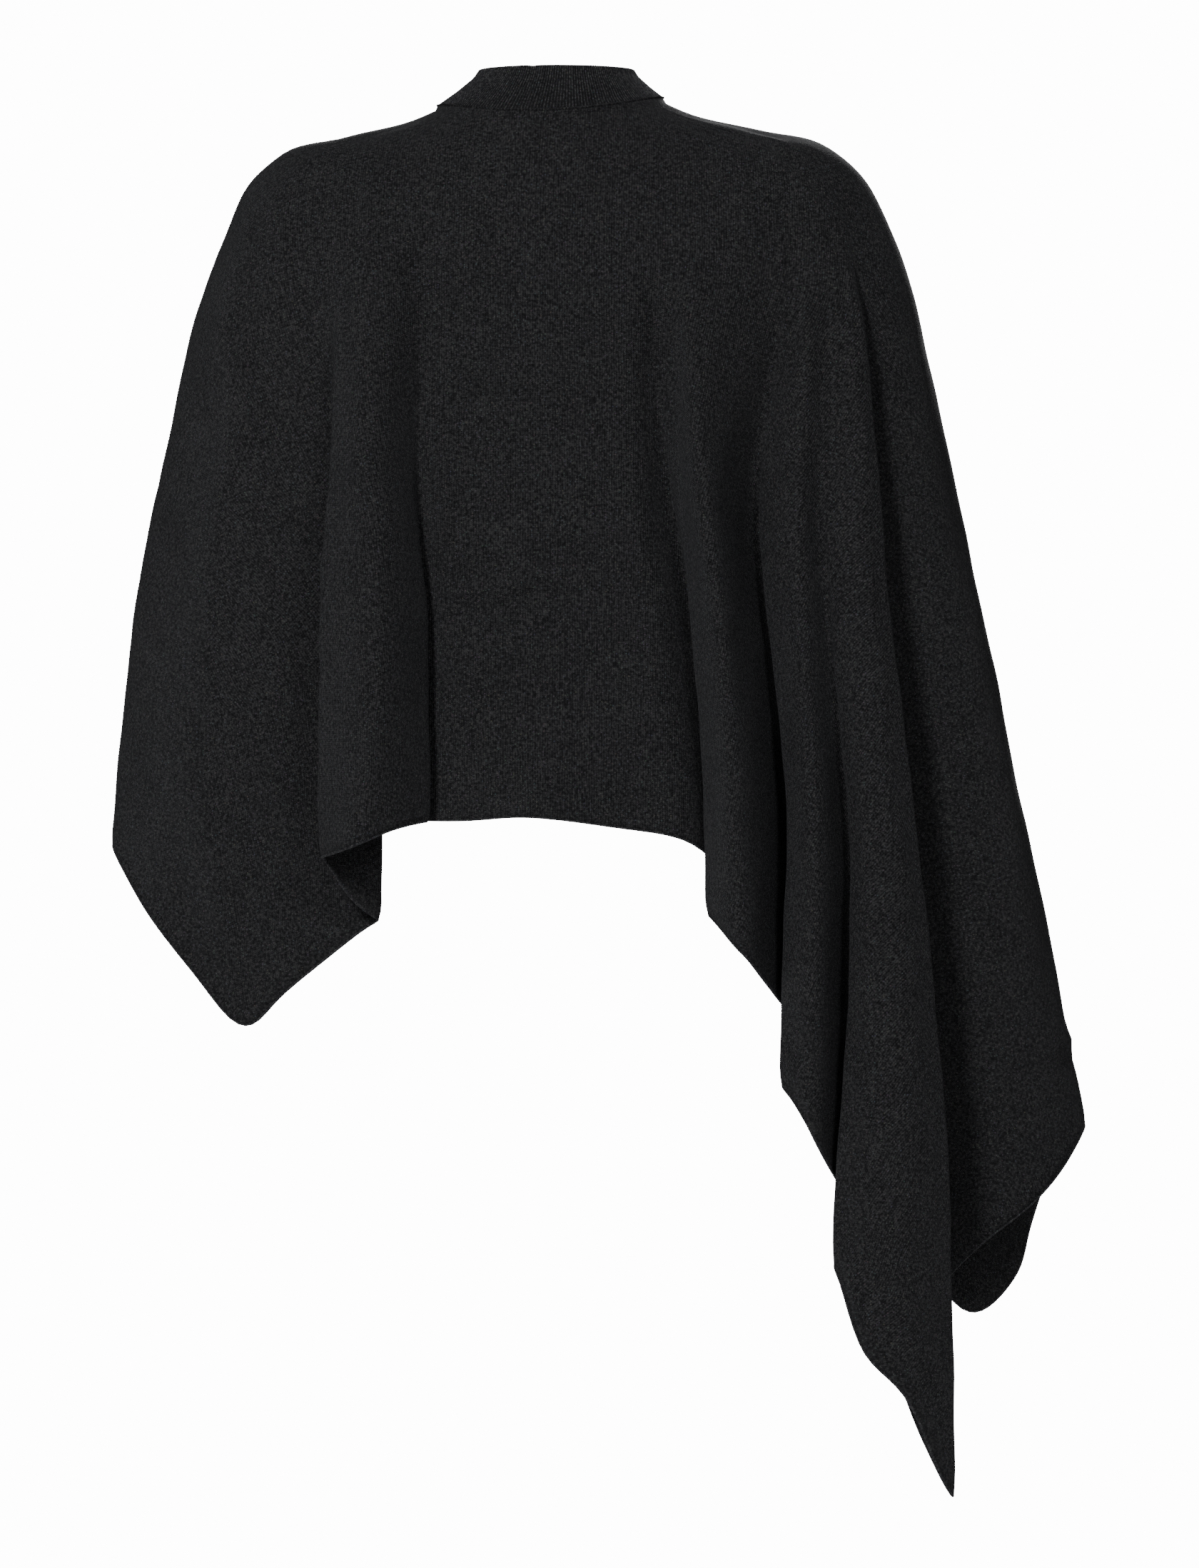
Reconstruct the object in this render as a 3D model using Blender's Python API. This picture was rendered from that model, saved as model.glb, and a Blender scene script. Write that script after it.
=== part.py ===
"""Knit cape, worn: two wide panels joined along the shoulders and over the arms, and a ribbed mock neck.

Metres, +Z up. The origin is the middle of the neck opening at the height of the neck seam.
+X is the long side of the cape, -Y is the wearer's back and +Y the wearer's front.

The cape is worked out as one closed set of guide lines. Each guide starts at the neck seam, runs
over the shoulders to the yoke line, where the cloth leaves the figure, and hangs from there to the
cut edge. A guide is a fold's crest, valley or doubled-over edge, so two tables hold all the folds.
"""

import math
from collections import namedtuple

import bmesh
import bpy
import numpy as np

# ---- cloth ----------------------------------------------------------------------------------
WALL = 0.0020            # body knit, thickness
RIB_WALL = 0.0024        # neck band, thickness without its ribs
SEAM_GAP = 0.0003        # between two pieces at a seam
MM = 0.001               # the fold tables are in millimetres
BODY_COLOUR = (0.012, 0.012, 0.013, 1.0)
RIB_COLOUR = (0.009, 0.009, 0.010, 1.0)
KNIT_ROUGHNESS = 0.92

# ---- neck seam and neck band ----------------------------------------------------------------
NECK_HALF_WIDTH = 0.0875
NECK_HALF_DEPTH = 0.0720
NECK_MIDDLE_X = -0.0060
NECK_SIDE_RISE = 0.0115  # the seam climbs this much from the centre back to the side of the neck
NECK_FRONT_DROP = 0.0300 # and falls this far at the centre front
NECK_TILT = 0.0355       # sideways slope of the seam
SEAM_TIP_MIDDLE = math.radians(22.0)      # how far the cloth faces up at the seam, back and front
SEAM_TIP_SIDE = math.radians(50.0)        # and at the sides of the neck
BAND_TOP_Z = 0.0370
BAND_TOP_HALF_WIDTH = 0.0600
BAND_TOP_HALF_DEPTH = 0.0560
BAND_TOP_MIDDLE = (-0.0012, 0.0080)
BAND_RISE = (0.0, 0.38, 0.76, 1.0)        # heights of its rings, as shares
BAND_LEAN = (0.0, 0.46, 0.86, 1.0)        # how far in each ring leans, as shares
RIBS = 216               # knit wales round the neck
RIB_HEIGHT = 0.00035
INNER_STEP = 4           # outer columns for each inner one

# ---- yoke: where the cloth leaves the shoulders ------------------------------------------------
YOKE_Z = -0.100
YOKE_HALF_WIDTH = 0.2650
YOKE_BACK_DEPTH = 0.1120
YOKE_FRONT_DEPTH = 0.1180
YOKE_SQUARENESS = 2.6    # exponent of the plan's superellipse
SHOULDER_POWER = 2       # how fast the flat shoulder top takes over from the back or chest, sideways
LIFT_FADE = 5            # power by which a fold's stand-off fades towards the neck
NECK_SPREAD = 0.0060     # two guides are shared out at the neck as if at least this far apart here
# From the neck to the yoke: share of the way outward, then how much of the drop is used up by there,
# along the flat top of a shoulder and down the steeper middle of the back or chest.
YokeStep = namedtuple("YokeStep", "way on_shoulder on_middle")
YOKE_STEPS = (
    YokeStep(0.00, 0.000, 0.00),
    YokeStep(0.14, 0.105, 0.10),
    YokeStep(0.45, 0.225, 0.33),
    YokeStep(0.70, 0.320, 0.58),
    YokeStep(0.85, 0.520, 0.77),
    YokeStep(1.00, 1.000, 1.00),
)

# ---- folds --------------------------------------------------------------------------------------
# A row for each guide, in millimetres: its x on the yoke line and how far it stands off there, its x
# and y a third and two thirds of the way down, and where it ends on the cut edge. turn is +1 or -1
# where the cloth doubles back on itself, at an edge that points to +X or -X, and 0 elsewhere.
Guide = namedtuple("Guide", "name turn yoke_x yoke_lift x1 y1 x2 y2 edge_x edge_y edge_z")

BACK = (
    Guide("left over-arm seam",        0, -265.0,  0.0, -304.9,   -6, -334.9,   -6, -349.3,    0,  -567.4),
    Guide("left wing, outer",          0, -242.3,  0.0, -285.3,  -46, -313.8,  -45, -321.6,  -37,  -619.5),
    Guide("left wing, side",           0, -231.5,  0.0, -272.8,  -60, -293.4,  -61, -281.6,  -53,  -670.9),
    Guide("left back corner",          0, -218.8,  0.0, -260.8,  -69, -266.7,  -72, -242.2,  -62,  -712.2),
    Guide("left wing, corner",         0, -206.2,  0.0, -239.6,  -75, -242.5,  -79, -216.7,  -70,  -688.2),
    Guide("left wing, inner",          0, -193.6, -1.0, -218.6,  -80, -218.4,  -84, -191.5,  -75,  -667.2),
    Guide("left fold, hidden turn",    1, -172.7, -2.0, -164.8,  -96, -137.2,  -98, -134.0,  -92,  -627.4),
    Guide("left fold, between",        0, -164.7,  0.0, -168.8, -108, -165.1, -116, -160.0, -108,  -610.5),
    Guide("left fold, near edge",     -1, -156.4, +2.0, -175.6, -120, -183.3, -134, -184.6, -127,  -578.4),
    Guide("left fold, crest",          0, -142.6, +4.0, -148.8, -148, -139.9, -172, -152.4, -172,  -568.7),
    Guide("left fold, flank",          0, -123.8, +1.0, -131.0, -142, -122.5, -162, -126.0, -160,  -557.4),
    Guide("left fold, right edge",     1, -107.7, -3.0, -114.6, -118,  -98.9, -123,  -97.1, -127,  -550.9),
    Guide("left valley",              -1, -101.1, -3.5, -108.4, -107, -105.4, -110, -105.8, -113,  -550.5),
    Guide("middle, left",              0,  -77.4, -1.0,  -89.4, -118,  -77.2, -124,  -69.0, -124,  -550.4),
    Guide("middle",                    0,  -25.2,  0.0,  -25.1, -124,  -25.0, -130,  -25.0, -132,  -547.6),
    Guide("middle, right",             0,  +32.5,  0.0,  +38.0, -122,  +44.5, -127,  +43.5, -128,  -555.4),
    Guide("middle, rim",               0,  +54.0,  0.0,  +59.0, -120,  +80.0, -125,  +98.5, -127,  -565.0),
    Guide("valley 1",                  1,  +68.2, -3.0,  +81.0, -102, +112.4,  -98, +137.2,  -94,  -588.7),
    Guide("ridge 1, left edge",       -1,  +82.0, -1.0,  +92.9, -116, +107.6, -125, +113.7, -124,  -622.3),
    Guide("ridge 1, crest",            0,  +94.8, +3.0, +110.6, -150, +131.5, -168, +139.7, -168,  -649.4),
    Guide("valley 2",                  1, +170.3, -4.0, +155.1,  -84, +180.6,  -80, +194.0,  -80,  -704.7),
    Guide("ridge 2, left edge",       -1, +176.7, -2.0, +158.1, -100, +175.4, -122, +169.8, -136,  -755.3),
    Guide("ridge 2, crest",            0, +185.6,  0.0, +184.8, -130, +197.5, -152, +196.3, -162,  -792.2),
    Guide("valley 3",                  1, +197.5, -1.0, +204.5, -112, +228.7, -110, +227.8, -108,  -836.1),
    Guide("ridge 3, left edge",       -1, +205.5,  0.0, +213.5, -121, +224.7, -136, +208.2, -148,  -893.1),
    Guide("ridge 3, face",             0, +210.5, +2.0, +227.0, -130, +242.6, -156, +235.2, -166,  -958.0),
    Guide("ridge 3, crest",            0, +215.0, +4.0, +240.6, -132, +266.0, -156, +265.2, -166,  -988.0),
    Guide("ridge 3, long edge",        1, +220.5, +4.0, +260.2, -122, +296.6, -132, +308.2, -134, -1070.6),
    Guide("behind ridge 3",            0, +221.5,  0.0, +255.4, -102, +280.0, -106, +277.4, -104, -1018.9),
    Guide("right fold, hidden turn",  -1, +222.2, -3.0, +246.7,  -86, +265.3,  -88, +252.1,  -88,  -959.5),
    Guide("right wing, inner",         0, +231.0, -2.0, +265.7,  -78, +300.6,  -78, +283.9,  -80,  -924.8),
    Guide("right wing, middle",        0, +240.0,  0.0, +287.2,  -72, +337.0,  -74, +325.8,  -76,  -880.6),
    Guide("right wing, outer",         0, +250.0,  0.0, +304.6,  -60, +357.3,  -64, +368.1,  -66,  -848.1),
    Guide("right wing, rim",           0, +258.7,  0.0, +313.7,  -40, +365.1,  -46, +396.6,  -48,  -815.9),
)

FRONT = (
    Guide("right over-arm seam",       0, +264.3,  0.0, +318.1,  -12, +365.7,  -16, +412.7,  -14,  -786.8),
    Guide("right front, rim",          0, +252.0,  0.0, +306.0,  +24, +352.0,  +20, +388.0,  +16,  -824.0),
    Guide("right front, side",         0, +233.0,  0.0, +282.0,  +60, +327.0,  +56, +373.5,  +44,  -868.0),
    Guide("right front, edge",         0, +208.0,  0.0, +248.0,  +84, +298.0,  +80, +363.4,  +56,  -910.0),
    Guide("right front corner",        0, +185.0, +2.0, +212.0, +122, +262.0, +124, +326.5,  +84,  -944.0),
    Guide("right front, flank",        0, +164.0,  0.0, +185.0, +118, +224.0, +108, +285.0,  +90,  -885.0),
    Guide("right front valley",        0, +143.0, -3.0, +161.0, +104, +190.0,  +92, +235.0,  +88,  -790.0),
    Guide("right front ridge",         0, +119.0, +4.0, +136.0, +152, +156.0, +168, +190.0, +166,  -710.0),
    Guide("middle front, right",       0,  +93.0,  0.0, +105.0, +136, +118.0, +132, +145.0, +130,  -600.0),
    Guide("middle front, inner",       0,  +55.0,  0.0,  +64.0, +142,  +72.0, +140,  +88.0, +138,  -530.0),
    Guide("middle front",              0,    0.0,  0.0,    0.0, +145,    0.0, +143,    0.0, +142,  -515.0),
    Guide("middle front, left",        0,  -60.0,  0.0,  -68.0, +138,  -74.0, +134,  -80.0, +132,  -520.0),
    Guide("left front ridge",          0, -105.0, +4.0, -120.0, +152, -133.0, +168, -145.0, +168,  -545.0),
    Guide("left front valley",         0, -140.0, -3.0, -158.0, +106, -172.0,  +98, -190.0,  +96,  -585.0),
    Guide("left front corner",         0, -179.0,  0.0, -206.0, +102, -226.0, +100, -250.0,  +78,  -688.0),
    Guide("left front, side",          0, -216.0,  0.0, -256.0,  +72, -278.0,  +66, -282.0,  +56,  -648.0),
    Guide("left front, rim",           0, -245.0,  0.0, -290.0,  +42, -316.0,  +42, -316.0,  +38,  -618.0),
)

ROLL = 0.0042            # radius of a doubled-over edge
ROLL_SHARE = 0.34        # of the way to the next guide, at most
STILL_OPEN = -0.2        # cosine between the two sides of an edge below which it isn't rolled over
DOUBLED = 0.6            # and above which it is rolled over fully
LEVEL = np.array((1.0, 1.0, 0.0))         # keeps the level part of a direction
TINY = 1e-6              # stands in for a length of zero

# ---- mesh -----------------------------------------------------------------------------------------
YOKE_BANDS = 7
HANG_BANDS = 13
YOKE_SHARE = 0.30        # of a guide's parameter, from the neck to the yoke line
BACK_SPACING = 0.0150    # of the columns, on average
FRONT_SPACING = 0.0210


def unit(vectors):
    return vectors / np.linalg.norm(vectors, axis=-1, keepdims=True)


def neck_point(angle):
    """A point of the neck seam; angle 0 is the left side, pi/2 the back, pi the right side."""
    side = -math.cos(angle)
    back = math.sin(angle)
    x = NECK_MIDDLE_X + NECK_HALF_WIDTH * side
    y = -NECK_HALF_DEPTH * back
    z = NECK_SIDE_RISE * side * side + NECK_TILT * (x - NECK_MIDDLE_X)
    if back < 0.0:
        z -= NECK_FRONT_DROP * back * back
    return np.array((x, y, z))


def seam_directions(angle):
    """At the neck seam: the cloth's outward direction, and the way down it, shared by both pieces."""
    side = -math.cos(angle)
    back = math.sin(angle)
    level = unit(np.array((side / NECK_HALF_WIDTH, -back / NECK_HALF_DEPTH, 0.0)))
    tip = SEAM_TIP_MIDDLE + (SEAM_TIP_SIDE - SEAM_TIP_MIDDLE) * side * side
    up = np.array((0.0, 0.0, 1.0))
    return level * math.cos(tip) + up * math.sin(tip), level * math.sin(tip) - up * math.cos(tip)


def seam_angle(point):
    """The angle on the neck seam that a point lies nearest to."""
    return math.atan2(-point[1] / NECK_HALF_DEPTH, -(point[0] - NECK_MIDDLE_X) / NECK_HALF_WIDTH)


def yoke_point(guide, in_front):
    """The guide's point on the yoke line, a superellipse round the shoulders, and its stand-off there."""
    depth = YOKE_FRONT_DEPTH if in_front else YOKE_BACK_DEPTH
    share = min(abs(guide.yoke_x) / YOKE_HALF_WIDTH, 1.0)
    reach = (1.0 - share ** YOKE_SQUARENESS) ** (1.0 / YOKE_SQUARENESS)
    side = 1.0 if in_front else -1.0
    slope = YOKE_SQUARENESS - 1.0
    outward = np.array((
        math.copysign(share ** slope / YOKE_HALF_WIDTH, guide.yoke_x),
        side * reach ** slope / depth,
        0.0,
    ))
    return np.array((guide.yoke_x, side * depth * reach, YOKE_Z)), unit(outward) * guide.yoke_lift


def guide_knots(guide, yoke, lift, neck):
    """The guide's points from the neck seam to the cut edge, and their parameters."""
    shoulder = min(abs(guide.yoke_x) / YOKE_HALF_WIDTH, 1.0) ** SHOULDER_POWER
    knots = []
    params = []
    for step in YOKE_STEPS:
        drop = shoulder * step.on_shoulder + (1.0 - shoulder) * step.on_middle
        point = neck + (yoke - neck) * step.way + lift * step.way ** LIFT_FADE
        point[2] = neck[2] + (YOKE_Z - neck[2]) * drop
        knots.append(point)
        params.append(step.way)
    lengths = np.linalg.norm(np.diff(knots, axis=0), axis=1)
    params = list(YOKE_SHARE * np.concatenate(([0.0], np.cumsum(lengths))) / lengths.sum())
    places = ((guide.x1, guide.y1), (guide.x2, guide.y2), (guide.edge_x, guide.edge_y))
    for number, (x, y) in enumerate(places, start=1):
        share = number / len(places)
        knots.append(np.array((x, y, YOKE_Z + (guide.edge_z - YOKE_Z) * share)))
        params.append(YOKE_SHARE + (1.0 - YOKE_SHARE) * share)
    return np.array(knots), np.array(params)


def smooth_through(knots, params, at):
    """A cubic through the knots, with finite-difference slopes, read at the given parameters."""
    steps = np.diff(params)
    secants = np.diff(knots, axis=0) / steps[:, None]
    slopes = np.empty_like(knots)
    slopes[0] = secants[0]
    slopes[-1] = secants[-1]
    weight = (steps[1:] / (steps[1:] + steps[:-1]))[:, None]
    slopes[1:-1] = secants[:-1] * weight + secants[1:] * (1.0 - weight)
    piece = np.clip(np.searchsorted(params, at, side="right") - 1, 0, len(steps) - 1)
    span = steps[piece][:, None]
    t = ((at - params[piece]) / steps[piece])[:, None]
    return (
        knots[piece] * (2 * t**3 - 3 * t**2 + 1)
        + slopes[piece] * span * (t**3 - 2 * t**2 + t)
        + knots[piece + 1] * (3 * t**2 - 2 * t**3)
        + slopes[piece + 1] * span * (t**3 - t**2)
    )


def band_parameters():
    """Where the rings lie along a guide: close together over the shoulders, wider below."""
    yoke = np.linspace(0.0, YOKE_SHARE, YOKE_BANDS + 1)
    hang = np.linspace(YOKE_SHARE, 1.0, HANG_BANDS + 1)
    return np.concatenate((yoke, hang[1:]))


def in_metres(guide):
    return Guide(guide.name, guide.turn, *(size * MM for size in guide[2:]))


def guide_lines(at):
    """All guides round the cape, left seam first, as an array of ring, guide, xyz."""
    rows = [(in_metres(g), False) for g in BACK] + [(in_metres(g), True) for g in FRONT]
    yokes, lifts = zip(*(yoke_point(g, front) for g, front in rows))
    reach = [max(math.dist(yokes[(i + 1) % len(rows)], yokes[i]), NECK_SPREAD) for i in range(len(rows))]
    back_run = np.concatenate(([0.0], np.cumsum(reach[: len(BACK)])))
    front_run = np.concatenate(([0.0], np.cumsum(reach[len(BACK) :])))
    shares = list(back_run[:-1] / back_run[-1]) + list(1.0 + front_run[:-1] / front_run[-1])
    lines = []
    for (guide, _), yoke, lift, share in zip(rows, yokes, lifts, shares):
        knots, params = guide_knots(guide, yoke, lift, neck_point(math.pi * share))
        lines.append(smooth_through(knots, params, at))
    return np.stack(lines, axis=1), [g.turn for g, _ in rows]


def open_turns(ring, turns):
    """Two extra points beside each doubled-over edge, so that it rolls over in a small curve."""
    points = []
    count = len(ring)
    for i, turn in enumerate(turns):
        here = ring[i]
        if turn == 0:
            points.append(here)
            continue
        before = ring[i - 1] - here
        after = ring[(i + 1) % count] - here
        roll = min(ROLL, ROLL_SHARE * np.linalg.norm(before), ROLL_SHARE * np.linalg.norm(after))
        before = unit(before * LEVEL)
        after = unit(after * LEVEL)
        doubled = min(max((np.dot(before, after) - STILL_OPEN) / (DOUBLED - STILL_OPEN), 0.0), 1.0)
        inward = unit(before + after + TINY)
        across = unit(after - before)
        points.append(here + roll * (before * (1.0 - doubled) + (inward - across) * doubled))
        points.append(here)
        points.append(here + roll * (after * (1.0 - doubled) + (inward + across) * doubled))
    return np.array(points)


def round_ring(points, counts):
    """A centripetal curve through the points of a closed ring, with counts[i] columns after point i."""
    total = len(points)
    result = []
    for i in range(total):
        p0, p1, p2, p3 = (points[(i + k) % total] for k in (-1, 0, 1, 2))
        d0, d1, d2 = (max(math.dist(a, b), TINY) ** 0.5 for a, b in ((p0, p1), (p1, p2), (p2, p3)))
        m1 = (p1 - p0) / d0 - (p2 - p0) / (d0 + d1) + (p2 - p1) / d1
        m2 = (p2 - p1) / d1 - (p3 - p1) / (d1 + d2) + (p3 - p2) / d2
        for step in range(counts[i]):
            t = step / counts[i]
            result.append(
                p1 * (2 * t**3 - 3 * t**2 + 1)
                + m1 * d1 * (t**3 - 2 * t**2 + t)
                + p2 * (3 * t**2 - 2 * t**3)
                + m2 * d1 * (t**3 - t**2)
            )
    return np.array(result)


def cape_surface():
    """The middle of the cloth as rings of points, and the columns of the two over-arm seams."""
    lines, turns = guide_lines(band_parameters())
    opened = [open_turns(ring, turns) for ring in lines]
    hanging = np.array(opened[YOKE_BANDS:])
    spans = np.linalg.norm(np.roll(hanging, -1, axis=1) - hanging, axis=2).mean(axis=0)
    extra = np.cumsum([0] + [2 if turn else 0 for turn in turns])
    right_seam = len(BACK) + int(extra[len(BACK)])
    counts = []
    for i, span in enumerate(spans):
        spacing = BACK_SPACING if i < right_seam else FRONT_SPACING
        counts.append(max(1, round(span / spacing)))
    rings = np.array([round_ring(ring, counts) for ring in opened])
    rings[0] = [neck_point(seam_angle(point)) for point in rings[0]]
    return rings, sum(counts[:right_seam])


def surface_normals(rings):
    """Outward normals from the neighbouring points; the rings are closed."""
    down = unit(np.gradient(rings, axis=0))
    step = np.roll(rings, -1, axis=1) - rings
    onward = unit(step - down * np.sum(step * down, axis=2, keepdims=True))
    return unit(np.cross(down, onward + np.roll(onward, 1, axis=1)))


def panel_sides(rings, normals, first, last):
    """Outer and inner points of one panel, from seam column first to seam column last."""
    columns = [c % rings.shape[1] for c in range(first, last + 1)]
    middle = rings[:, columns].copy()
    facing = normals[:, columns]
    across = unit(np.roll(rings, -1, axis=1) - np.roll(rings, 1, axis=1))[:, columns]
    middle[:, 0] += across[:, 0] * SEAM_GAP / 2
    middle[:, -1] -= across[:, -1] * SEAM_GAP / 2
    for c, point in enumerate(middle[0].copy()):
        facing[0, c], down = seam_directions(seam_angle(point))
        middle[0, c] += down * SEAM_GAP / 2
    return middle + facing * WALL / 2, middle - facing * WALL / 2


def add_object(name, mesh_builder, colour):
    """A mesh object made by mesh_builder(bm), with a plain material of its own."""
    bm = bmesh.new()
    mesh_builder(bm)
    bmesh.ops.recalc_face_normals(bm, faces=bm.faces)
    mesh = bpy.data.meshes.new(name)
    bm.to_mesh(mesh)
    bm.free()
    mesh.shade_smooth()
    material = bpy.data.materials.new(name + "_knit")
    material.use_nodes = True
    shader = material.node_tree.nodes["Principled BSDF"]
    shader.inputs["Base Color"].default_value = colour
    shader.inputs["Roughness"].default_value = KNIT_ROUGHNESS
    shader.inputs["Metallic"].default_value = 0.0
    mesh.materials.append(material)
    part = bpy.data.objects.new(name, mesh)
    bpy.context.scene.collection.objects.link(part)
    return part


def build_panel(name, outer, inner):
    """A sheet with an outer and an inner side, closed along its four edges."""

    def fill(bm):
        out = [[bm.verts.new(p) for p in ring] for ring in outer]
        back = [[bm.verts.new(p) for p in ring] for ring in inner]
        rows = len(out) - 1
        columns = len(out[0]) - 1
        for r in range(rows):
            for c in range(columns):
                bm.faces.new((out[r][c], out[r + 1][c], out[r + 1][c + 1], out[r][c + 1]))
                bm.faces.new((back[r][c], back[r][c + 1], back[r + 1][c + 1], back[r + 1][c]))
        for r in range(rows):
            bm.faces.new((out[r][0], back[r][0], back[r + 1][0], out[r + 1][0]))
            bm.faces.new((out[r][columns], out[r + 1][columns], back[r + 1][columns], back[r][columns]))
        for c in range(columns):
            bm.faces.new((out[0][c], out[0][c + 1], back[0][c + 1], back[0][c]))
            bm.faces.new((out[rows][c], back[rows][c], back[rows][c + 1], out[rows][c + 1]))

    return add_object(name, fill, BODY_COLOUR)


def collar_ring(rise, lean, columns, offset):
    """One ring of the neck band, from the neck seam to its top; offset moves it outward."""
    ring = []
    for c in range(columns):
        angle = 2.0 * math.pi * c / columns
        seam = neck_point(angle)
        side = -math.cos(angle)
        back = math.sin(angle)
        top = np.array((
            BAND_TOP_MIDDLE[0] + BAND_TOP_HALF_WIDTH * side,
            BAND_TOP_MIDDLE[1] - BAND_TOP_HALF_DEPTH * back,
            BAND_TOP_Z,
        ))
        point = seam + (top - seam) * lean
        point[2] = seam[2] + (top[2] - seam[2]) * rise
        facing, down = seam_directions(angle)
        if rise == 0.0:
            point -= down * SEAM_GAP / 2
        ring.append(point + facing * offset[c])
    return ring


def build_collar():
    """The neck band: ribs raised on the outside over a plain inside."""
    columns = 2 * RIBS
    ribs = [RIB_WALL / 2 + (RIB_HEIGHT if c % 2 == 0 else 0.0) for c in range(columns)]
    inside = [-RIB_WALL / 2] * (columns // INNER_STEP)

    def fill(bm):
        out = []
        back = []
        for rise, lean in zip(BAND_RISE, BAND_LEAN):
            out.append([bm.verts.new(p) for p in collar_ring(rise, lean, columns, ribs)])
            back.append([bm.verts.new(p) for p in collar_ring(rise, lean, len(inside), inside)])
        for r in range(len(out) - 1):
            for c in range(columns):
                n = (c + 1) % columns
                bm.faces.new((out[r][c], out[r][n], out[r + 1][n], out[r + 1][c]))
            for c in range(len(inside)):
                n = (c + 1) % len(inside)
                bm.faces.new((back[r][c], back[r + 1][c], back[r + 1][n], back[r][n]))
        for r in (0, len(out) - 1):
            for c in range(len(inside)):
                first = c * INNER_STEP
                n = (c + 1) % len(inside)
                for k in range(INNER_STEP):
                    pair = (out[r][first + k], out[r][(first + k + 1) % columns])
                    bm.faces.new((*pair, back[r][c] if k < INNER_STEP // 2 else back[r][n]))
                bm.faces.new((out[r][first + INNER_STEP // 2], back[r][n], back[r][c]))

    return add_object("collar", fill, RIB_COLOUR)


def main():
    for old in list(bpy.data.objects):
        bpy.data.objects.remove(old)
    rings, right_seam = cape_surface()
    normals = surface_normals(rings)
    build_panel("back_panel", *panel_sides(rings, normals, 0, right_seam))
    build_panel("front_panel", *panel_sides(rings, normals, right_seam, rings.shape[1]))
    build_collar()
    for part in bpy.context.scene.objects:
        print(part.name, "triangles", sum(len(f.vertices) - 2 for f in part.data.polygons))


main()
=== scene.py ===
# %% [markdown]
# # A worn knit cape
# This lesson dresses a imported CAD model of a cape in fine black knit. The CAD model holds the true
# shape in few faces. Here every piece of cloth is made again as a smooth thin shell on that shape,
# with creases, ribs, stitches, knit relief and a fuzzy edge that a solid for collision can't carry.
# The first cell loads the imported model.

# %% Load the imported model
import math
from collections import namedtuple

import bmesh
import bpy
import numpy as np
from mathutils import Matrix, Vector


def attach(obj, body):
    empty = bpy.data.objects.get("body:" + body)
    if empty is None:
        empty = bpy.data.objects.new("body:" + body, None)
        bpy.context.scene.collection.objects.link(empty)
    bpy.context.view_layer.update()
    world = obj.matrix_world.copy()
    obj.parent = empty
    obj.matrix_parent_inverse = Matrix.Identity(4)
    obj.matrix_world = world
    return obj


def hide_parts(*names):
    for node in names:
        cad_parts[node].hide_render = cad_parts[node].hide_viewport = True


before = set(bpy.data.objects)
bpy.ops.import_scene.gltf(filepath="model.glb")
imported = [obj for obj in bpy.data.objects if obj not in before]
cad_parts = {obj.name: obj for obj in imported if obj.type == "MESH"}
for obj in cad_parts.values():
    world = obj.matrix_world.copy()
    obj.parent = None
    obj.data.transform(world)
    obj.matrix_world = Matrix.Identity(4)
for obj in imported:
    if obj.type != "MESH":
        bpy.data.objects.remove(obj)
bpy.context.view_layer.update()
scene = bpy.context.scene
print("nodes:", sorted(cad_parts))

# %% [markdown]
# ## Camera
# The photograph was taken level, from far away, with the garment facing it. A long lens does the
# same: at 6 m the folds near the camera grow by only about 3%. The picture is 1680 by 2197 pixels and
# each pixel is 0.56 mm wide at the neck, which gives the focal length by similar triangles.

# %% Camera
PICTURE = (1680, 2197)           # pixels, width and height
PIXEL = 0.00056                  # metres of object for each pixel, in the plane of the neck
NECK_PIXEL = (782, 165)          # where the origin lies in the picture
CAMERA_DISTANCE = 6.0
SENSOR = 36.0

camera_data = bpy.data.cameras.new("camera")
camera_data.sensor_fit = "AUTO"
camera_data.sensor_width = SENSOR
camera_data.lens = SENSOR * CAMERA_DISTANCE / (PICTURE[1] * PIXEL)
camera = bpy.data.objects.new("camera", camera_data)
camera.location = (
    (PICTURE[0] / 2 - NECK_PIXEL[0]) * PIXEL,
    -CAMERA_DISTANCE,
    (NECK_PIXEL[1] - PICTURE[1] / 2) * PIXEL,
)
camera.rotation_euler = (math.pi / 2, 0.0, 0.0)
scene.collection.objects.link(camera)
scene.camera = camera
print("lens", round(camera_data.lens, 1), "mm at", [round(c, 3) for c in camera.location])

# %% [markdown]
# ## The shape of the hanging cloth
# A hanging cape is hard to draw as one surface but easy to draw as lines. Each row below is one guide
# line from the neck seam over the shoulder to the cut edge: the crest of a fold, the bottom of a valley,
# or an edge where the cloth doubles back. The same rows made the CAD solids, so the shells made here
# lie on them. The tables are in millimetres, and turn marks an edge that the cloth rolls round.


# %% Guide lines
def table(kind, rows):
    """The rows of a table, each as a named tuple of that kind."""
    return [kind(*row) for row in rows]


WALL = 0.0020            # body knit, thickness
RIB_WALL = 0.0024        # neck band, thickness without its ribs
SEAM_GAP = 0.0003        # between two pieces at a seam
MM = 0.001               # the fold tables are in millimetres

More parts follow.
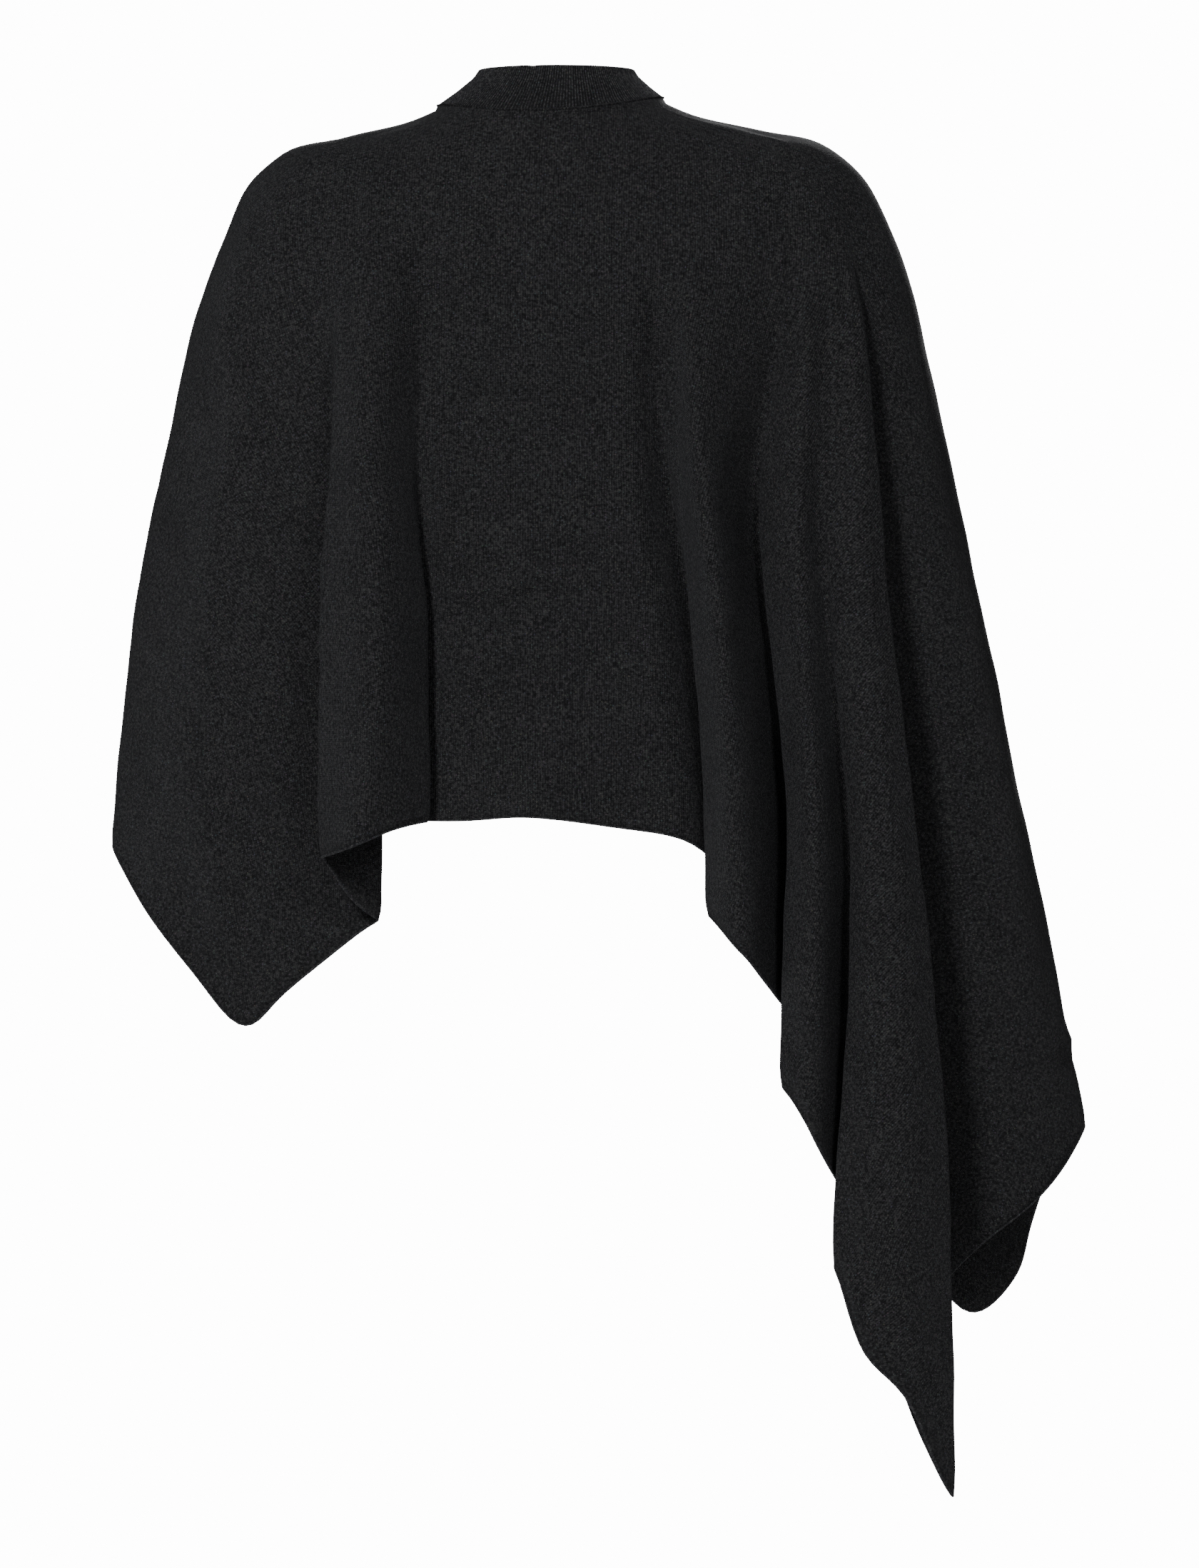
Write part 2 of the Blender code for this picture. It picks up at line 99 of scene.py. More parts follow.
# neck seam and neck band
NECK_HALF_WIDTH = 0.0875
NECK_HALF_DEPTH = 0.0720
NECK_MIDDLE_X = -0.0060
NECK_SIDE_RISE = 0.0115  # the seam climbs this much from the centre back to the side of the neck
NECK_FRONT_DROP = 0.0300 # and falls this far at the centre front
NECK_TILT = 0.0355       # sideways slope of the seam
SEAM_TIP_MIDDLE = math.radians(22.0)      # how far the cloth faces up at the seam, back and front
SEAM_TIP_SIDE = math.radians(50.0)        # and at the sides of the neck
BAND_TOP_Z = 0.0370
BAND_TOP_HALF_WIDTH = 0.0600
BAND_TOP_HALF_DEPTH = 0.0560
BAND_TOP_MIDDLE = (-0.0012, 0.0080)
RIBS = 216               # knit wales round the neck

# yoke: where the cloth leaves the shoulders
YOKE_Z = -0.100
YOKE_HALF_WIDTH = 0.2650
YOKE_BACK_DEPTH = 0.1120
YOKE_FRONT_DEPTH = 0.1180
YOKE_SQUARENESS = 2.6    # exponent of the plan's superellipse
SHOULDER_POWER = 2       # how fast the flat shoulder top takes over from the back or chest, sideways
LIFT_FADE = 5            # power by which a fold's stand-off fades towards the neck
NECK_SPREAD = 0.0060     # two guides are shared out at the neck as if at least this far apart here
# From the neck to the yoke: share of the way outward, then how much of the drop is used up by there,
# along the flat top of a shoulder and down the steeper middle of the back or chest.
YokeStep = namedtuple("YokeStep", "way on_shoulder on_middle")
YOKE_STEPS = table(YokeStep, (
    (0.00, 0.000, 0.00),
    (0.14, 0.105, 0.10),
    (0.45, 0.225, 0.33),
    (0.70, 0.320, 0.58),
    (0.85, 0.520, 0.77),
    (1.00, 1.000, 1.00),
))

# folds: a row for each guide, in millimetres: its x on the yoke line and how far it stands off there, its x
# and y a third and two thirds of the way down, and where it ends on the cut edge. turn is +1 or -1
# where the cloth doubles back on itself, at an edge that points to +X or -X, and 0 elsewhere.
Guide = namedtuple("Guide", "name turn yoke_x yoke_lift x1 y1 x2 y2 edge_x edge_y edge_z")

BACK = table(Guide, (
    ("left over-arm seam",       0, -265.0,  0.0, -304.9,   -6, -334.9,   -6, -349.3,    0,  -567.4),
    ("left wing, outer",         0, -242.3,  0.0, -285.3,  -46, -313.8,  -45, -321.6,  -37,  -619.5),
    ("left wing, side",          0, -231.5,  0.0, -272.8,  -60, -293.4,  -61, -281.6,  -53,  -670.9),
    ("left back corner",         0, -218.8,  0.0, -260.8,  -69, -266.7,  -72, -242.2,  -62,  -712.2),
    ("left wing, corner",        0, -206.2,  0.0, -239.6,  -75, -242.5,  -79, -216.7,  -70,  -688.2),
    ("left wing, inner",         0, -193.6, -1.0, -218.6,  -80, -218.4,  -84, -191.5,  -75,  -667.2),
    ("left fold, hidden turn",   1, -172.7, -2.0, -164.8,  -96, -137.2,  -98, -134.0,  -92,  -627.4),
    ("left fold, between",       0, -164.7,  0.0, -168.8, -108, -165.1, -116, -160.0, -108,  -610.5),
    ("left fold, near edge",    -1, -156.4, +2.0, -175.6, -120, -183.3, -134, -184.6, -127,  -578.4),
    ("left fold, crest",         0, -142.6, +4.0, -148.8, -148, -139.9, -172, -152.4, -172,  -568.7),
    ("left fold, flank",         0, -123.8, +1.0, -131.0, -142, -122.5, -162, -126.0, -160,  -557.4),
    ("left fold, right edge",    1, -107.7, -3.0, -114.6, -118,  -98.9, -123,  -97.1, -127,  -550.9),
    ("left valley",             -1, -101.1, -3.5, -108.4, -107, -105.4, -110, -105.8, -113,  -550.5),
    ("middle, left",             0,  -77.4, -1.0,  -89.4, -118,  -77.2, -124,  -69.0, -124,  -550.4),
    ("middle",                   0,  -25.2,  0.0,  -25.1, -124,  -25.0, -130,  -25.0, -132,  -547.6),
    ("middle, right",            0,  +32.5,  0.0,  +38.0, -122,  +44.5, -127,  +43.5, -128,  -555.4),
    ("middle, rim",              0,  +54.0,  0.0,  +59.0, -120,  +80.0, -125,  +98.5, -127,  -565.0),
    ("valley 1",                 1,  +68.2, -3.0,  +81.0, -102, +112.4,  -98, +137.2,  -94,  -588.7),
    ("ridge 1, left edge",      -1,  +82.0, -1.0,  +92.9, -116, +107.6, -125, +113.7, -124,  -622.3),
    ("ridge 1, crest",           0,  +94.8, +3.0, +110.6, -150, +131.5, -168, +139.7, -168,  -649.4),
    ("valley 2",                 1, +170.3, -4.0, +155.1,  -84, +180.6,  -80, +194.0,  -80,  -704.7),
    ("ridge 2, left edge",      -1, +176.7, -2.0, +158.1, -100, +175.4, -122, +169.8, -136,  -755.3),
    ("ridge 2, crest",           0, +185.6,  0.0, +184.8, -130, +197.5, -152, +196.3, -162,  -792.2),
    ("valley 3",                 1, +197.5, -1.0, +204.5, -112, +228.7, -110, +227.8, -108,  -836.1),
    ("ridge 3, left edge",      -1, +205.5,  0.0, +213.5, -121, +224.7, -136, +208.2, -148,  -893.1),
    ("ridge 3, face",            0, +210.5, +2.0, +227.0, -130, +242.6, -156, +235.2, -166,  -958.0),
    ("ridge 3, crest",           0, +215.0, +4.0, +240.6, -132, +266.0, -156, +265.2, -166,  -988.0),
    ("ridge 3, long edge",       1, +220.5, +4.0, +260.2, -122, +296.6, -132, +308.2, -134, -1070.6),
    ("behind ridge 3",           0, +221.5,  0.0, +255.4, -102, +280.0, -106, +277.4, -104, -1018.9),
    ("right fold, hidden turn", -1, +222.2, -3.0, +246.7,  -86, +265.3,  -88, +252.1,  -88,  -959.5),
    ("right wing, inner",        0, +231.0, -2.0, +265.7,  -78, +300.6,  -78, +283.9,  -80,  -924.8),
    ("right wing, middle",       0, +240.0,  0.0, +287.2,  -72, +337.0,  -74, +325.8,  -76,  -880.6),
    ("right wing, outer",        0, +250.0,  0.0, +304.6,  -60, +357.3,  -64, +368.1,  -66,  -848.1),
    ("right wing, rim",          0, +258.7,  0.0, +313.7,  -40, +365.1,  -46, +396.6,  -48,  -815.9),
))

FRONT = table(Guide, (
    ("right over-arm seam",      0, +264.3,  0.0, +318.1,  -12, +365.7,  -16, +412.7,  -14,  -786.8),
    ("right front, rim",         0, +252.0,  0.0, +306.0,  +24, +352.0,  +20, +388.0,  +16,  -824.0),
    ("right front, side",        0, +233.0,  0.0, +282.0,  +60, +327.0,  +56, +373.5,  +44,  -868.0),
    ("right front, edge",        0, +208.0,  0.0, +248.0,  +84, +298.0,  +80, +363.4,  +56,  -910.0),
    ("right front corner",       0, +185.0, +2.0, +212.0, +122, +262.0, +124, +326.5,  +84,  -944.0),
    ("right front, flank",       0, +164.0,  0.0, +185.0, +118, +224.0, +108, +285.0,  +90,  -885.0),
    ("right front valley",       0, +143.0, -3.0, +161.0, +104, +190.0,  +92, +235.0,  +88,  -790.0),
    ("right front ridge",        0, +119.0, +4.0, +136.0, +152, +156.0, +168, +190.0, +166,  -710.0),
    ("middle front, right",      0,  +93.0,  0.0, +105.0, +136, +118.0, +132, +145.0, +130,  -600.0),
    ("middle front, inner",      0,  +55.0,  0.0,  +64.0, +142,  +72.0, +140,  +88.0, +138,  -530.0),
    ("middle front",             0,    0.0,  0.0,    0.0, +145,    0.0, +143,    0.0, +142,  -515.0),
    ("middle front, left",       0,  -60.0,  0.0,  -68.0, +138,  -74.0, +134,  -80.0, +132,  -520.0),
    ("left front ridge",         0, -105.0, +4.0, -120.0, +152, -133.0, +168, -145.0, +168,  -545.0),
    ("left front valley",        0, -140.0, -3.0, -158.0, +106, -172.0,  +98, -190.0,  +96,  -585.0),
    ("left front corner",        0, -179.0,  0.0, -206.0, +102, -226.0, +100, -250.0,  +78,  -688.0),
    ("left front, side",         0, -216.0,  0.0, -256.0,  +72, -278.0,  +66, -282.0,  +56,  -648.0),
    ("left front, rim",          0, -245.0,  0.0, -290.0,  +42, -316.0,  +42, -316.0,  +38,  -618.0),
))

ROLL = 0.0042            # radius of a doubled-over edge
ROLL_SHARE = 0.34        # of the way to the next guide, at most
STILL_OPEN = -0.2        # cosine between the two sides of an edge below which it isn't rolled over
DOUBLED = 0.6            # and above which it is rolled over fully
LEVEL = np.array((1.0, 1.0, 0.0))         # keeps the level part of a direction
TINY = 1e-6              # stands in for a length of zero
print("guides:", len(BACK), "on the back and", len(FRONT), "on the front")

# %% [markdown]
# ## From the neck to the hem
# The neck opening is an ellipse that tips sideways and drops at the front. The cloth leaves it facing
# outward and up, lies over the shoulders as far as the yoke line, and hangs from there. So each guide
# has fixed steps down to the yoke line, then three places of its own, and a cubic joins them smoothly.


# %% Neck, yoke and guides
def unit(vectors):
    return vectors / np.linalg.norm(vectors, axis=-1, keepdims=True)


def neck_point(angle):
    """A point of the neck seam; angle 0 is the left side, pi/2 the back, pi the right side."""
    side = -math.cos(angle)
    back = math.sin(angle)
    x = NECK_MIDDLE_X + NECK_HALF_WIDTH * side
    y = -NECK_HALF_DEPTH * back
    z = NECK_SIDE_RISE * side * side + NECK_TILT * (x - NECK_MIDDLE_X)
    if back < 0.0:
        z -= NECK_FRONT_DROP * back * back
    return np.array((x, y, z))


def seam_directions(angle):
    """At the neck seam: the cloth's outward direction, and the way down it, shared by both pieces."""
    side = -math.cos(angle)
    back = math.sin(angle)
    level = unit(np.array((side / NECK_HALF_WIDTH, -back / NECK_HALF_DEPTH, 0.0)))
    tip = SEAM_TIP_MIDDLE + (SEAM_TIP_SIDE - SEAM_TIP_MIDDLE) * side * side
    up = np.array((0.0, 0.0, 1.0))
    return level * math.cos(tip) + up * math.sin(tip), level * math.sin(tip) - up * math.cos(tip)


def seam_angle(point):
    """The angle on the neck seam that a point lies nearest to."""
    return math.atan2(-point[1] / NECK_HALF_DEPTH, -(point[0] - NECK_MIDDLE_X) / NECK_HALF_WIDTH)


def yoke_point(guide, in_front):
    """The guide's point on the yoke line, a superellipse round the shoulders, and its stand-off there."""
    depth = YOKE_FRONT_DEPTH if in_front else YOKE_BACK_DEPTH
    share = min(abs(guide.yoke_x) / YOKE_HALF_WIDTH, 1.0)
    reach = (1.0 - share ** YOKE_SQUARENESS) ** (1.0 / YOKE_SQUARENESS)
    side = 1.0 if in_front else -1.0
    slope = YOKE_SQUARENESS - 1.0
    outward = np.array((
        math.copysign(share ** slope / YOKE_HALF_WIDTH, guide.yoke_x),
        side * reach ** slope / depth,
        0.0,
    ))
    return np.array((guide.yoke_x, side * depth * reach, YOKE_Z)), unit(outward) * guide.yoke_lift


def guide_knots(guide, yoke, lift, neck):
    """The guide's points from the neck seam to the cut edge, and their parameters."""
    shoulder = min(abs(guide.yoke_x) / YOKE_HALF_WIDTH, 1.0) ** SHOULDER_POWER
    knots = []
    params = []
    for step in YOKE_STEPS:
        drop = shoulder * step.on_shoulder + (1.0 - shoulder) * step.on_middle
        point = neck + (yoke - neck) * step.way + lift * step.way ** LIFT_FADE
        point[2] = neck[2] + (YOKE_Z - neck[2]) * drop
        knots.append(point)
        params.append(step.way)
    lengths = np.linalg.norm(np.diff(knots, axis=0), axis=1)
    params = list(YOKE_SHARE * np.concatenate(([0.0], np.cumsum(lengths))) / lengths.sum())
    places = ((guide.x1, guide.y1), (guide.x2, guide.y2), (guide.edge_x, guide.edge_y))
    for number, (x, y) in enumerate(places, start=1):
        share = number / len(places)
        knots.append(np.array((x, y, YOKE_Z + (guide.edge_z - YOKE_Z) * share)))
        params.append(YOKE_SHARE + (1.0 - YOKE_SHARE) * share)
    return np.array(knots), np.array(params)


def cubic(t, start, leaving, end, arriving):
    """Between start and end, with those slopes there, at the share t of the way."""
    return (
        start * (2 * t**3 - 3 * t**2 + 1)
        + leaving * (t**3 - 2 * t**2 + t)
        + end * (3 * t**2 - 2 * t**3)
        + arriving * (t**3 - t**2)
    )


def smooth_through(knots, params, at):
    """A cubic through the knots, with finite-difference slopes, read at the given parameters."""
    steps = np.diff(params)
    secants = np.diff(knots, axis=0) / steps[:, None]
    slopes = np.empty_like(knots)
    slopes[0] = secants[0]
    slopes[-1] = secants[-1]
    weight = (steps[1:] / (steps[1:] + steps[:-1]))[:, None]
    slopes[1:-1] = secants[:-1] * weight + secants[1:] * (1.0 - weight)
    piece = np.clip(np.searchsorted(params, at, side="right") - 1, 0, len(steps) - 1)
    span = steps[piece][:, None]
    t = ((at - params[piece]) / steps[piece])[:, None]
    return cubic(t, knots[piece], slopes[piece] * span, knots[piece + 1], slopes[piece + 1] * span)


def in_metres(guide):
    return Guide(guide.name, guide.turn, *(size * MM for size in guide[2:]))


def guide_lines(at):
    """All guides round the cape, left seam first, as an array of ring, guide, xyz."""
    rows = [(in_metres(g), False) for g in BACK] + [(in_metres(g), True) for g in FRONT]
    yokes, lifts = zip(*(yoke_point(g, front) for g, front in rows))
    reach = [max(math.dist(yokes[(i + 1) % len(rows)], yokes[i]), NECK_SPREAD) for i in range(len(rows))]
    back_run = np.concatenate(([0.0], np.cumsum(reach[: len(BACK)])))
    front_run = np.concatenate(([0.0], np.cumsum(reach[len(BACK) :])))
    shares = list(back_run[:-1] / back_run[-1]) + list(1.0 + front_run[:-1] / front_run[-1])
    lines = []
    for (guide, _), yoke, lift, share in zip(rows, yokes, lifts, shares):
        knots, params = guide_knots(guide, yoke, lift, neck_point(math.pi * share))
        lines.append(smooth_through(knots, params, at))
    return np.stack(lines, axis=1), [g.turn for g, _ in rows]


print("over-arm seam, left:", neck_point(0.0).round(3), "right:", neck_point(math.pi).round(3))

# %% [markdown]
# ## From guide to guide
# Across the cape the cloth goes from one guide to the next. A smooth curve would pinch where the cloth
# doubles back, so each such edge first gets a point on either side, and rolls over in a small curve.


# %% Rings through the guides
def open_turns(ring, turns):
    """Two extra points beside each doubled-over edge, so that it rolls over in a small curve."""
    points = []
    count = len(ring)
    for i, turn in enumerate(turns):
        here = ring[i]
        if turn == 0:
            points.append(here)
            continue
        before = ring[i - 1] - here
        after = ring[(i + 1) % count] - here
        roll = min(ROLL, ROLL_SHARE * np.linalg.norm(before), ROLL_SHARE * np.linalg.norm(after))
        before = unit(before * LEVEL)
        after = unit(after * LEVEL)
        doubled = min(max((np.dot(before, after) - STILL_OPEN) / (DOUBLED - STILL_OPEN), 0.0), 1.0)
        inward = unit(before + after + TINY)
        across = unit(after - before)
        points.append(here + roll * (before * (1.0 - doubled) + (inward - across) * doubled))
        points.append(here)
        points.append(here + roll * (after * (1.0 - doubled) + (inward + across) * doubled))
    return np.array(points)


def round_ring(points, counts):
    """A centripetal curve through the points of a closed ring, with counts[i] columns after point i."""
    total = len(points)
    result = []
    for i in range(total):
        p0, p1, p2, p3 = (points[(i + k) % total] for k in (-1, 0, 1, 2))
        d0, d1, d2 = (max(math.dist(a, b), TINY) ** 0.5 for a, b in ((p0, p1), (p1, p2), (p2, p3)))
        m1 = (p1 - p0) / d0 - (p2 - p0) / (d0 + d1) + (p2 - p1) / d1
        m2 = (p2 - p1) / d1 - (p3 - p1) / (d1 + d2) + (p3 - p2) / d2
        for step in range(counts[i]):
            result.append(cubic(step / counts[i], p1, m1 * d1, p2, m2 * d1))
    return np.array(result)


print("edges that roll over:", sum(1 for g in BACK + FRONT if g.turn))

# %% [markdown]
# ## One closed surface
# Every ring round the cape passes through all the guides at one height. The centripetal curve keeps a
# tight fold round without loops. The middle of the cloth is found first, and its thickness comes later,
# along the normals. More rings and columns than in the CAD solids make the folds smooth.

# %% Rings of the cloth
YOKE_RINGS = 30
HANG_RINGS = 84
YOKE_SHARE = 0.30                # of a guide's parameter, from the neck to the yoke line
BLUR = 0.022                     # folds are soft on the shoulders: how wide they are smoothed there
BLUR_RINGS = 44                  # and the ring from which only the turns of the folds are softened
TURN_BLUR = 0.0040
HEM_BLUR = 0.0085                # the corners of the folds are round at the lower edge
HEM_RINGS = 5
BACK_COLUMN = 0.0050             # spacing of the columns, on average
FRONT_COLUMN = 0.0064


def ring_parameters():
    yoke = np.linspace(0.0, YOKE_SHARE, YOKE_RINGS + 1)
    hang = np.linspace(YOKE_SHARE, 1.0, HANG_RINGS + 1)
    return np.concatenate((yoke, hang[1:]))


def cape_surface():
    """The middle of the cloth as rings of points, and the column of the right over-arm seam."""
    lines, turns = guide_lines(ring_parameters())
    opened = [open_turns(ring, turns) for ring in lines]
    hanging = np.array(opened[YOKE_RINGS:])
    spans = np.linalg.norm(np.roll(hanging, -1, axis=1) - hanging, axis=2).mean(axis=0)
    right_seam = len(BACK) + 2 * sum(1 for turn in turns[: len(BACK)] if turn)
    spacing = [BACK_COLUMN if i < right_seam else FRONT_COLUMN for i in range(len(spans))]
    counts = [max(2, round(span / width)) for span, width in zip(spans, spacing)]
    rings = np.array([round_ring(ring, counts) for ring in opened])
    for r, ring in enumerate(rings):
        rings[r] = blurred(ring, blur_width(r, len(rings)))
    rings[0] = [neck_point(seam_angle(point)) for point in rings[0]]
    return rings, sum(counts[:right_seam])


def blur_width(r, count):
    """How wide ring r is smoothed: most on the shoulders, least on the folds, a little more at the hem."""
    shoulders = BLUR * (1.0 - np.clip(r / BLUR_RINGS, 0.0, 1.0) ** 2)
    hem = HEM_BLUR * np.clip(1.0 - (count - 1 - r) / HEM_RINGS, 0.0, 1.0) ** 2
    return max(TURN_BLUR, shoulders, hem)


def blurred(ring, width):
    """The ring with its small waves taken out: each point becomes an average over that width."""
    steps = np.linalg.norm(np.roll(ring, -1, axis=0) - ring, axis=1)
    place = np.cumsum(steps) - steps
    share = 0.5 * (steps + np.roll(steps, 1))
    apart = np.abs(place[:, None] - place[None, :])
    apart = np.minimum(apart, steps.sum() - apart)
    weight = np.exp(-0.5 * (apart / width) ** 2) * share[None, :]
    return weight @ ring / weight.sum(axis=1, keepdims=True)


def surface_normals(rings):
    """Outward normals from the neighbouring points; the rings are closed."""
    down = unit(np.gradient(rings, axis=0))
    step = np.roll(rings, -1, axis=1) - rings
    onward = unit(step - down * np.sum(step * down, axis=2, keepdims=True))
    return unit(np.cross(down, onward + np.roll(onward, 1, axis=1)))


rings, right_seam = cape_surface()
ring_count, column_count = rings.shape[:2]
print("cloth:", ring_count, "rings of", column_count, "points")

# %% [markdown]
# ## Listed creases
# Knit hangs soft, but it keeps the marks of being folded and carried. Each row is one crease on the
# photographed side: where it starts and ends across and down, how deep it is (minus for a trough) and
# how wide. The hidden side gets creases of the same kind. Slow waves keep the rest from looking ironed.

# %% Creases and slow waves
Crease = namedtuple("Crease", "x1 z1 x2 z2 depth width")
BACK_CREASES = table(Crease, (                 # millimetres
    (-86, -366, -30, -350, -3.2, 7),
    (-30, -350, +50, -341, -2.4, 6),
    (-82, -389, -34, -383, -3.6, 6),
    (-40, -383, +8, -372, -2.6, 6),
    (-84, -377, +60, -357, +2.6, 9),
    (-92, -430, +40, -424, +1.0, 14),
    (-88, -466, +62, -462, -1.1, 10),
    (-60, -492, +30, -494, +0.9, 12),
    (-96, -236, +20, -226, -1.7, 26),
    (-70, -288, +44, -280, +1.4, 24),
    (-254, -592, -219, -668, -2.4, 9),
    (-296, -470, -262, -604, +2.2, 24),
    (-288, -246, -214, -214, -2.0, 16),
    (-300, -322, -238, -300, +1.9, 18),
    (-310, -388, -250, -430, -1.8, 20),
    (-300, -500, -230, -540, -1.6, 16),
    (-286, -560, -236, -590, +1.6, 12),
    (-178, -300, -140, -290, -1.8, 10),
    (-184, -436, -136, -428, -2.0, 9),
    (-176, -520, -132, -512, +1.2, 10),
    (-190, -356, -150, -368, +1.4, 12),
    (+306, -752, +412, -718, +2.0, 8),
    (+306, -768, +408, -736, -1.8, 9),
    (+348, -770, +372, -806, -1.4, 7),
    (+250, -500, +300, -486, -1.0, 14),
    (+300, -590, +352, -578, -1.2, 12),
    (+298, -664, +378, -650, +1.0, 16),
    (+118, -420, +142, -410, -1.2, 12),
    (+116, -560, +150, -552, +1.2, 12),
    (+228, -700, +262, -640, -1.6, 12),
    (+238, -830, +262, -776, +1.4, 12),
    (+244, -912, +292, -872, -1.6, 12),
    (-160, -90, -100, -128, -1.4, 18),
    (+96, -84, +140, -122, -1.5, 18),
))
FRONT_CREASES = table(Crease, (
    (-70, -320, +60, -334, -2.0, 8),
    (-60, -352, +74, -346, +1.6, 10),
    (-66, -396, +20, -402, -1.6, 8),
    (-80, -440, +70, -452, -1.2, 12),
    (-300, -420, -250, -560, +2.0, 22),
    (-290, -300, -220, -276, -1.8, 16),
    (-250, -590, -226, -650, -2.2, 10),
    (+300, -700, +380, -676, +2.0, 9),
    (+296, -720, +376, -700, -1.8, 9),
    (+240, -520, +300, -500, -1.4, 14),
    (+200, -640, +260, -700, -1.8, 12),
    (+290, -820, +350, -780, +1.4, 12),
    (-150, -230, -110, -240, -1.4, 12),
    (+120, -300, +160, -290, -1.4, 12),
))
Wave = namedtuple("Wave", "across down phase height")
SLOW_WAVES = table(Wave, (       # waves for each metre, radians, metres
    (6.0, 3.0, 0.4, 0.0006),
    (-9.0, 6.0, 1.9, 0.0005),
    (15.0, 9.0, 4.2, 0.0002),
    (-11.0, 17.0, 2.8, 0.0002),
))
WAVE_START = 0.12                # metres below the seam at which the slow waves are at full height
CREASE_FULL = 0.35               # of a crease's length, either way from its middle, at full depth
CREASE_FADE = 0.13               # and the share over which it then fades


def crease_height(points, creases):
    """How far each point moves out of the cloth, from all the creases that pass near it."""
    height = np.zeros(points.shape[:-1])
    for crease in creases:
        start = np.array((crease.x1, crease.z1)) * MM
        along = np.array((crease.x2, crease.z2)) * MM - start
        offset = points[..., (0, 2)] - start
        way = offset @ along / (along @ along)
        aside = (offset[..., 0] * along[1] - offset[..., 1] * along[0]) / np.linalg.norm(along)
        ends = np.exp(-((np.clip(np.abs(way - 0.5) - CREASE_FULL, 0.0, None) / CREASE_FADE) ** 2))
        height += crease.depth * MM * ends * np.exp(-((aside / (crease.width * MM)) ** 2))
    return height


def slow_waves(across, down):
    height = 0.0
    for w in SLOW_WAVES:
        turns = w.across * across + w.down * down
        height += w.height * np.sin(2 * math.pi * turns + w.phase)
    return height * np.clip(down / WAVE_START, 0.0, 1.0)


steps_down = np.linalg.norm(np.diff(rings, axis=0), axis=2)
down_length = np.concatenate((np.zeros((1, column_count)), np.cumsum(steps_down, axis=0)))
steps_across = np.linalg.norm(np.roll(rings, -1, axis=1) - rings, axis=2)
across_length = np.cumsum(steps_across, axis=1) - steps_across
mean_across = across_length[YOKE_RINGS:].mean(axis=0)

normals = surface_normals(rings)
is_back = np.arange(column_count) <= right_seam
height = np.where(is_back, crease_height(rings, BACK_CREASES), crease_height(rings, FRONT_CREASES))
height += slow_waves(mean_across[None, :], down_length)
rings += normals * height[..., None]
normals = surface_normals(rings)
print("creases move the cloth by", round(float(np.abs(height).max()) * 1000, 1), "mm at most")

# %% [markdown]
# ## Shader maths as plain expressions
# A procedural material is a formula, and a formula is easier to read as one than as a row of boxes. The
# small class below wraps a socket, so that `(a + 0.5) * b` adds its own Math nodes. The other class
# starts a material and makes any other node: its kind, its settings, then what goes in its sockets.


# %% Wire and Finish
def link(tree, kind, settings, sockets):
    """A node of that kind with its settings, and links or values for its sockets."""
    node = tree.nodes.new(kind)
    for name, value in settings.items():
        setattr(node, name, value)
    for key, value in sockets.items():
        if isinstance(value, bpy.types.NodeSocket):
            tree.links.new(value, node.inputs[key])
        else:
            node.inputs[key].default_value = value
    return node


class Wire:
    """One output socket that takes part in sums."""

    def __init__(self, finish, socket):
        self.finish = finish
        self.socket = socket

    def maths(self, operation, first, second=0.0):
        return self.finish.add("ShaderNodeMath", {"operation": operation}, {0: first, 1: second})

    def __add__(self, other):
        return self.maths("ADD", self, other)

    def __radd__(self, other):
        return self.maths("ADD", other, self)

    def __sub__(self, other):
        return self.maths("SUBTRACT", self, other)

    def __rsub__(self, other):
        return self.maths("SUBTRACT", other, self)

    def __mul__(self, other):
        return self.maths("MULTIPLY", self, other)

    def __rmul__(self, other):
        return self.maths("MULTIPLY", other, self)

    def wave(self):
        """The sine of the wire, from 0 to 1."""
        return self.maths("SINE", self) * 0.5 + 0.5


class Finish:
    """A material being built."""

    def __init__(self, name):
        self.material = bpy.data.materials.new(name)
        self.material.use_nodes = True
        self.tree = self.material.node_tree
        self.tree.nodes.clear()

    def add(self, kind, settings, sockets, out=0):
        plugs = {key: value.socket if isinstance(value, Wire) else value for key, value in sockets.items()}
        node = link(self.tree, kind, settings, plugs)
        return Wire(self, node.outputs[out]) if node.outputs else None

    def ramp(self, factor, stops):
        """A colour for each factor, from rows of (place, colour)."""
        wire = self.add("ShaderNodeValToRGB", {}, {"Fac": factor})
        elements = wire.socket.node.color_ramp.elements
        while len(elements) < len(stops):
            elements.new(1.0)
        for element, (place, colour) in zip(elements, stops):
            element.position = place
            element.color = colour
        return wire

    def mix(self, factor, first, second):
        """The first colour, with that share of the second."""
        sockets = {"Factor": factor, 6: first, 7: second}
        return self.add("ShaderNodeMix", {"data_type": "RGBA"}, sockets, out=2)


print("a material starts with Finish(name), and its sums are wires")

# %% [markdown]
# ## The knit
# Fine double knit in black: rows of small V stitches about 1.9 mm wide, a slightly felted face that
# catches the light at the edges of folds, and grey fibres and specks through the black. The stitches
# follow the cloth through its own UV map, laid out in metres. The fibres and specks read the place on the
# object, so that their size is even on every fold. The colour is kept near black, with a little sheen.

# %% Knit materials
STITCH_WIDTH = 0.0019
STITCH_HEIGHT = 0.0015
SHEEN_ROUGHNESS = 0.45
FUZZ_SCALE = 520.0               # noise cells for each metre: fibres, soft patches, uneven stitches, specks
PATCH_SCALE = 26.0
WANDER_SCALE = 60.0
FLECK_SCALE = 400.0
FUZZ_CONTRAST = 2.6              # how much fibres and stitches change the tone
STITCH_CONTRAST = 0.45
FLECK_SHARE = 0.6


def grey(level, blue=0.02):
    return (level, level, level * (1.0 + blue), 1.0)


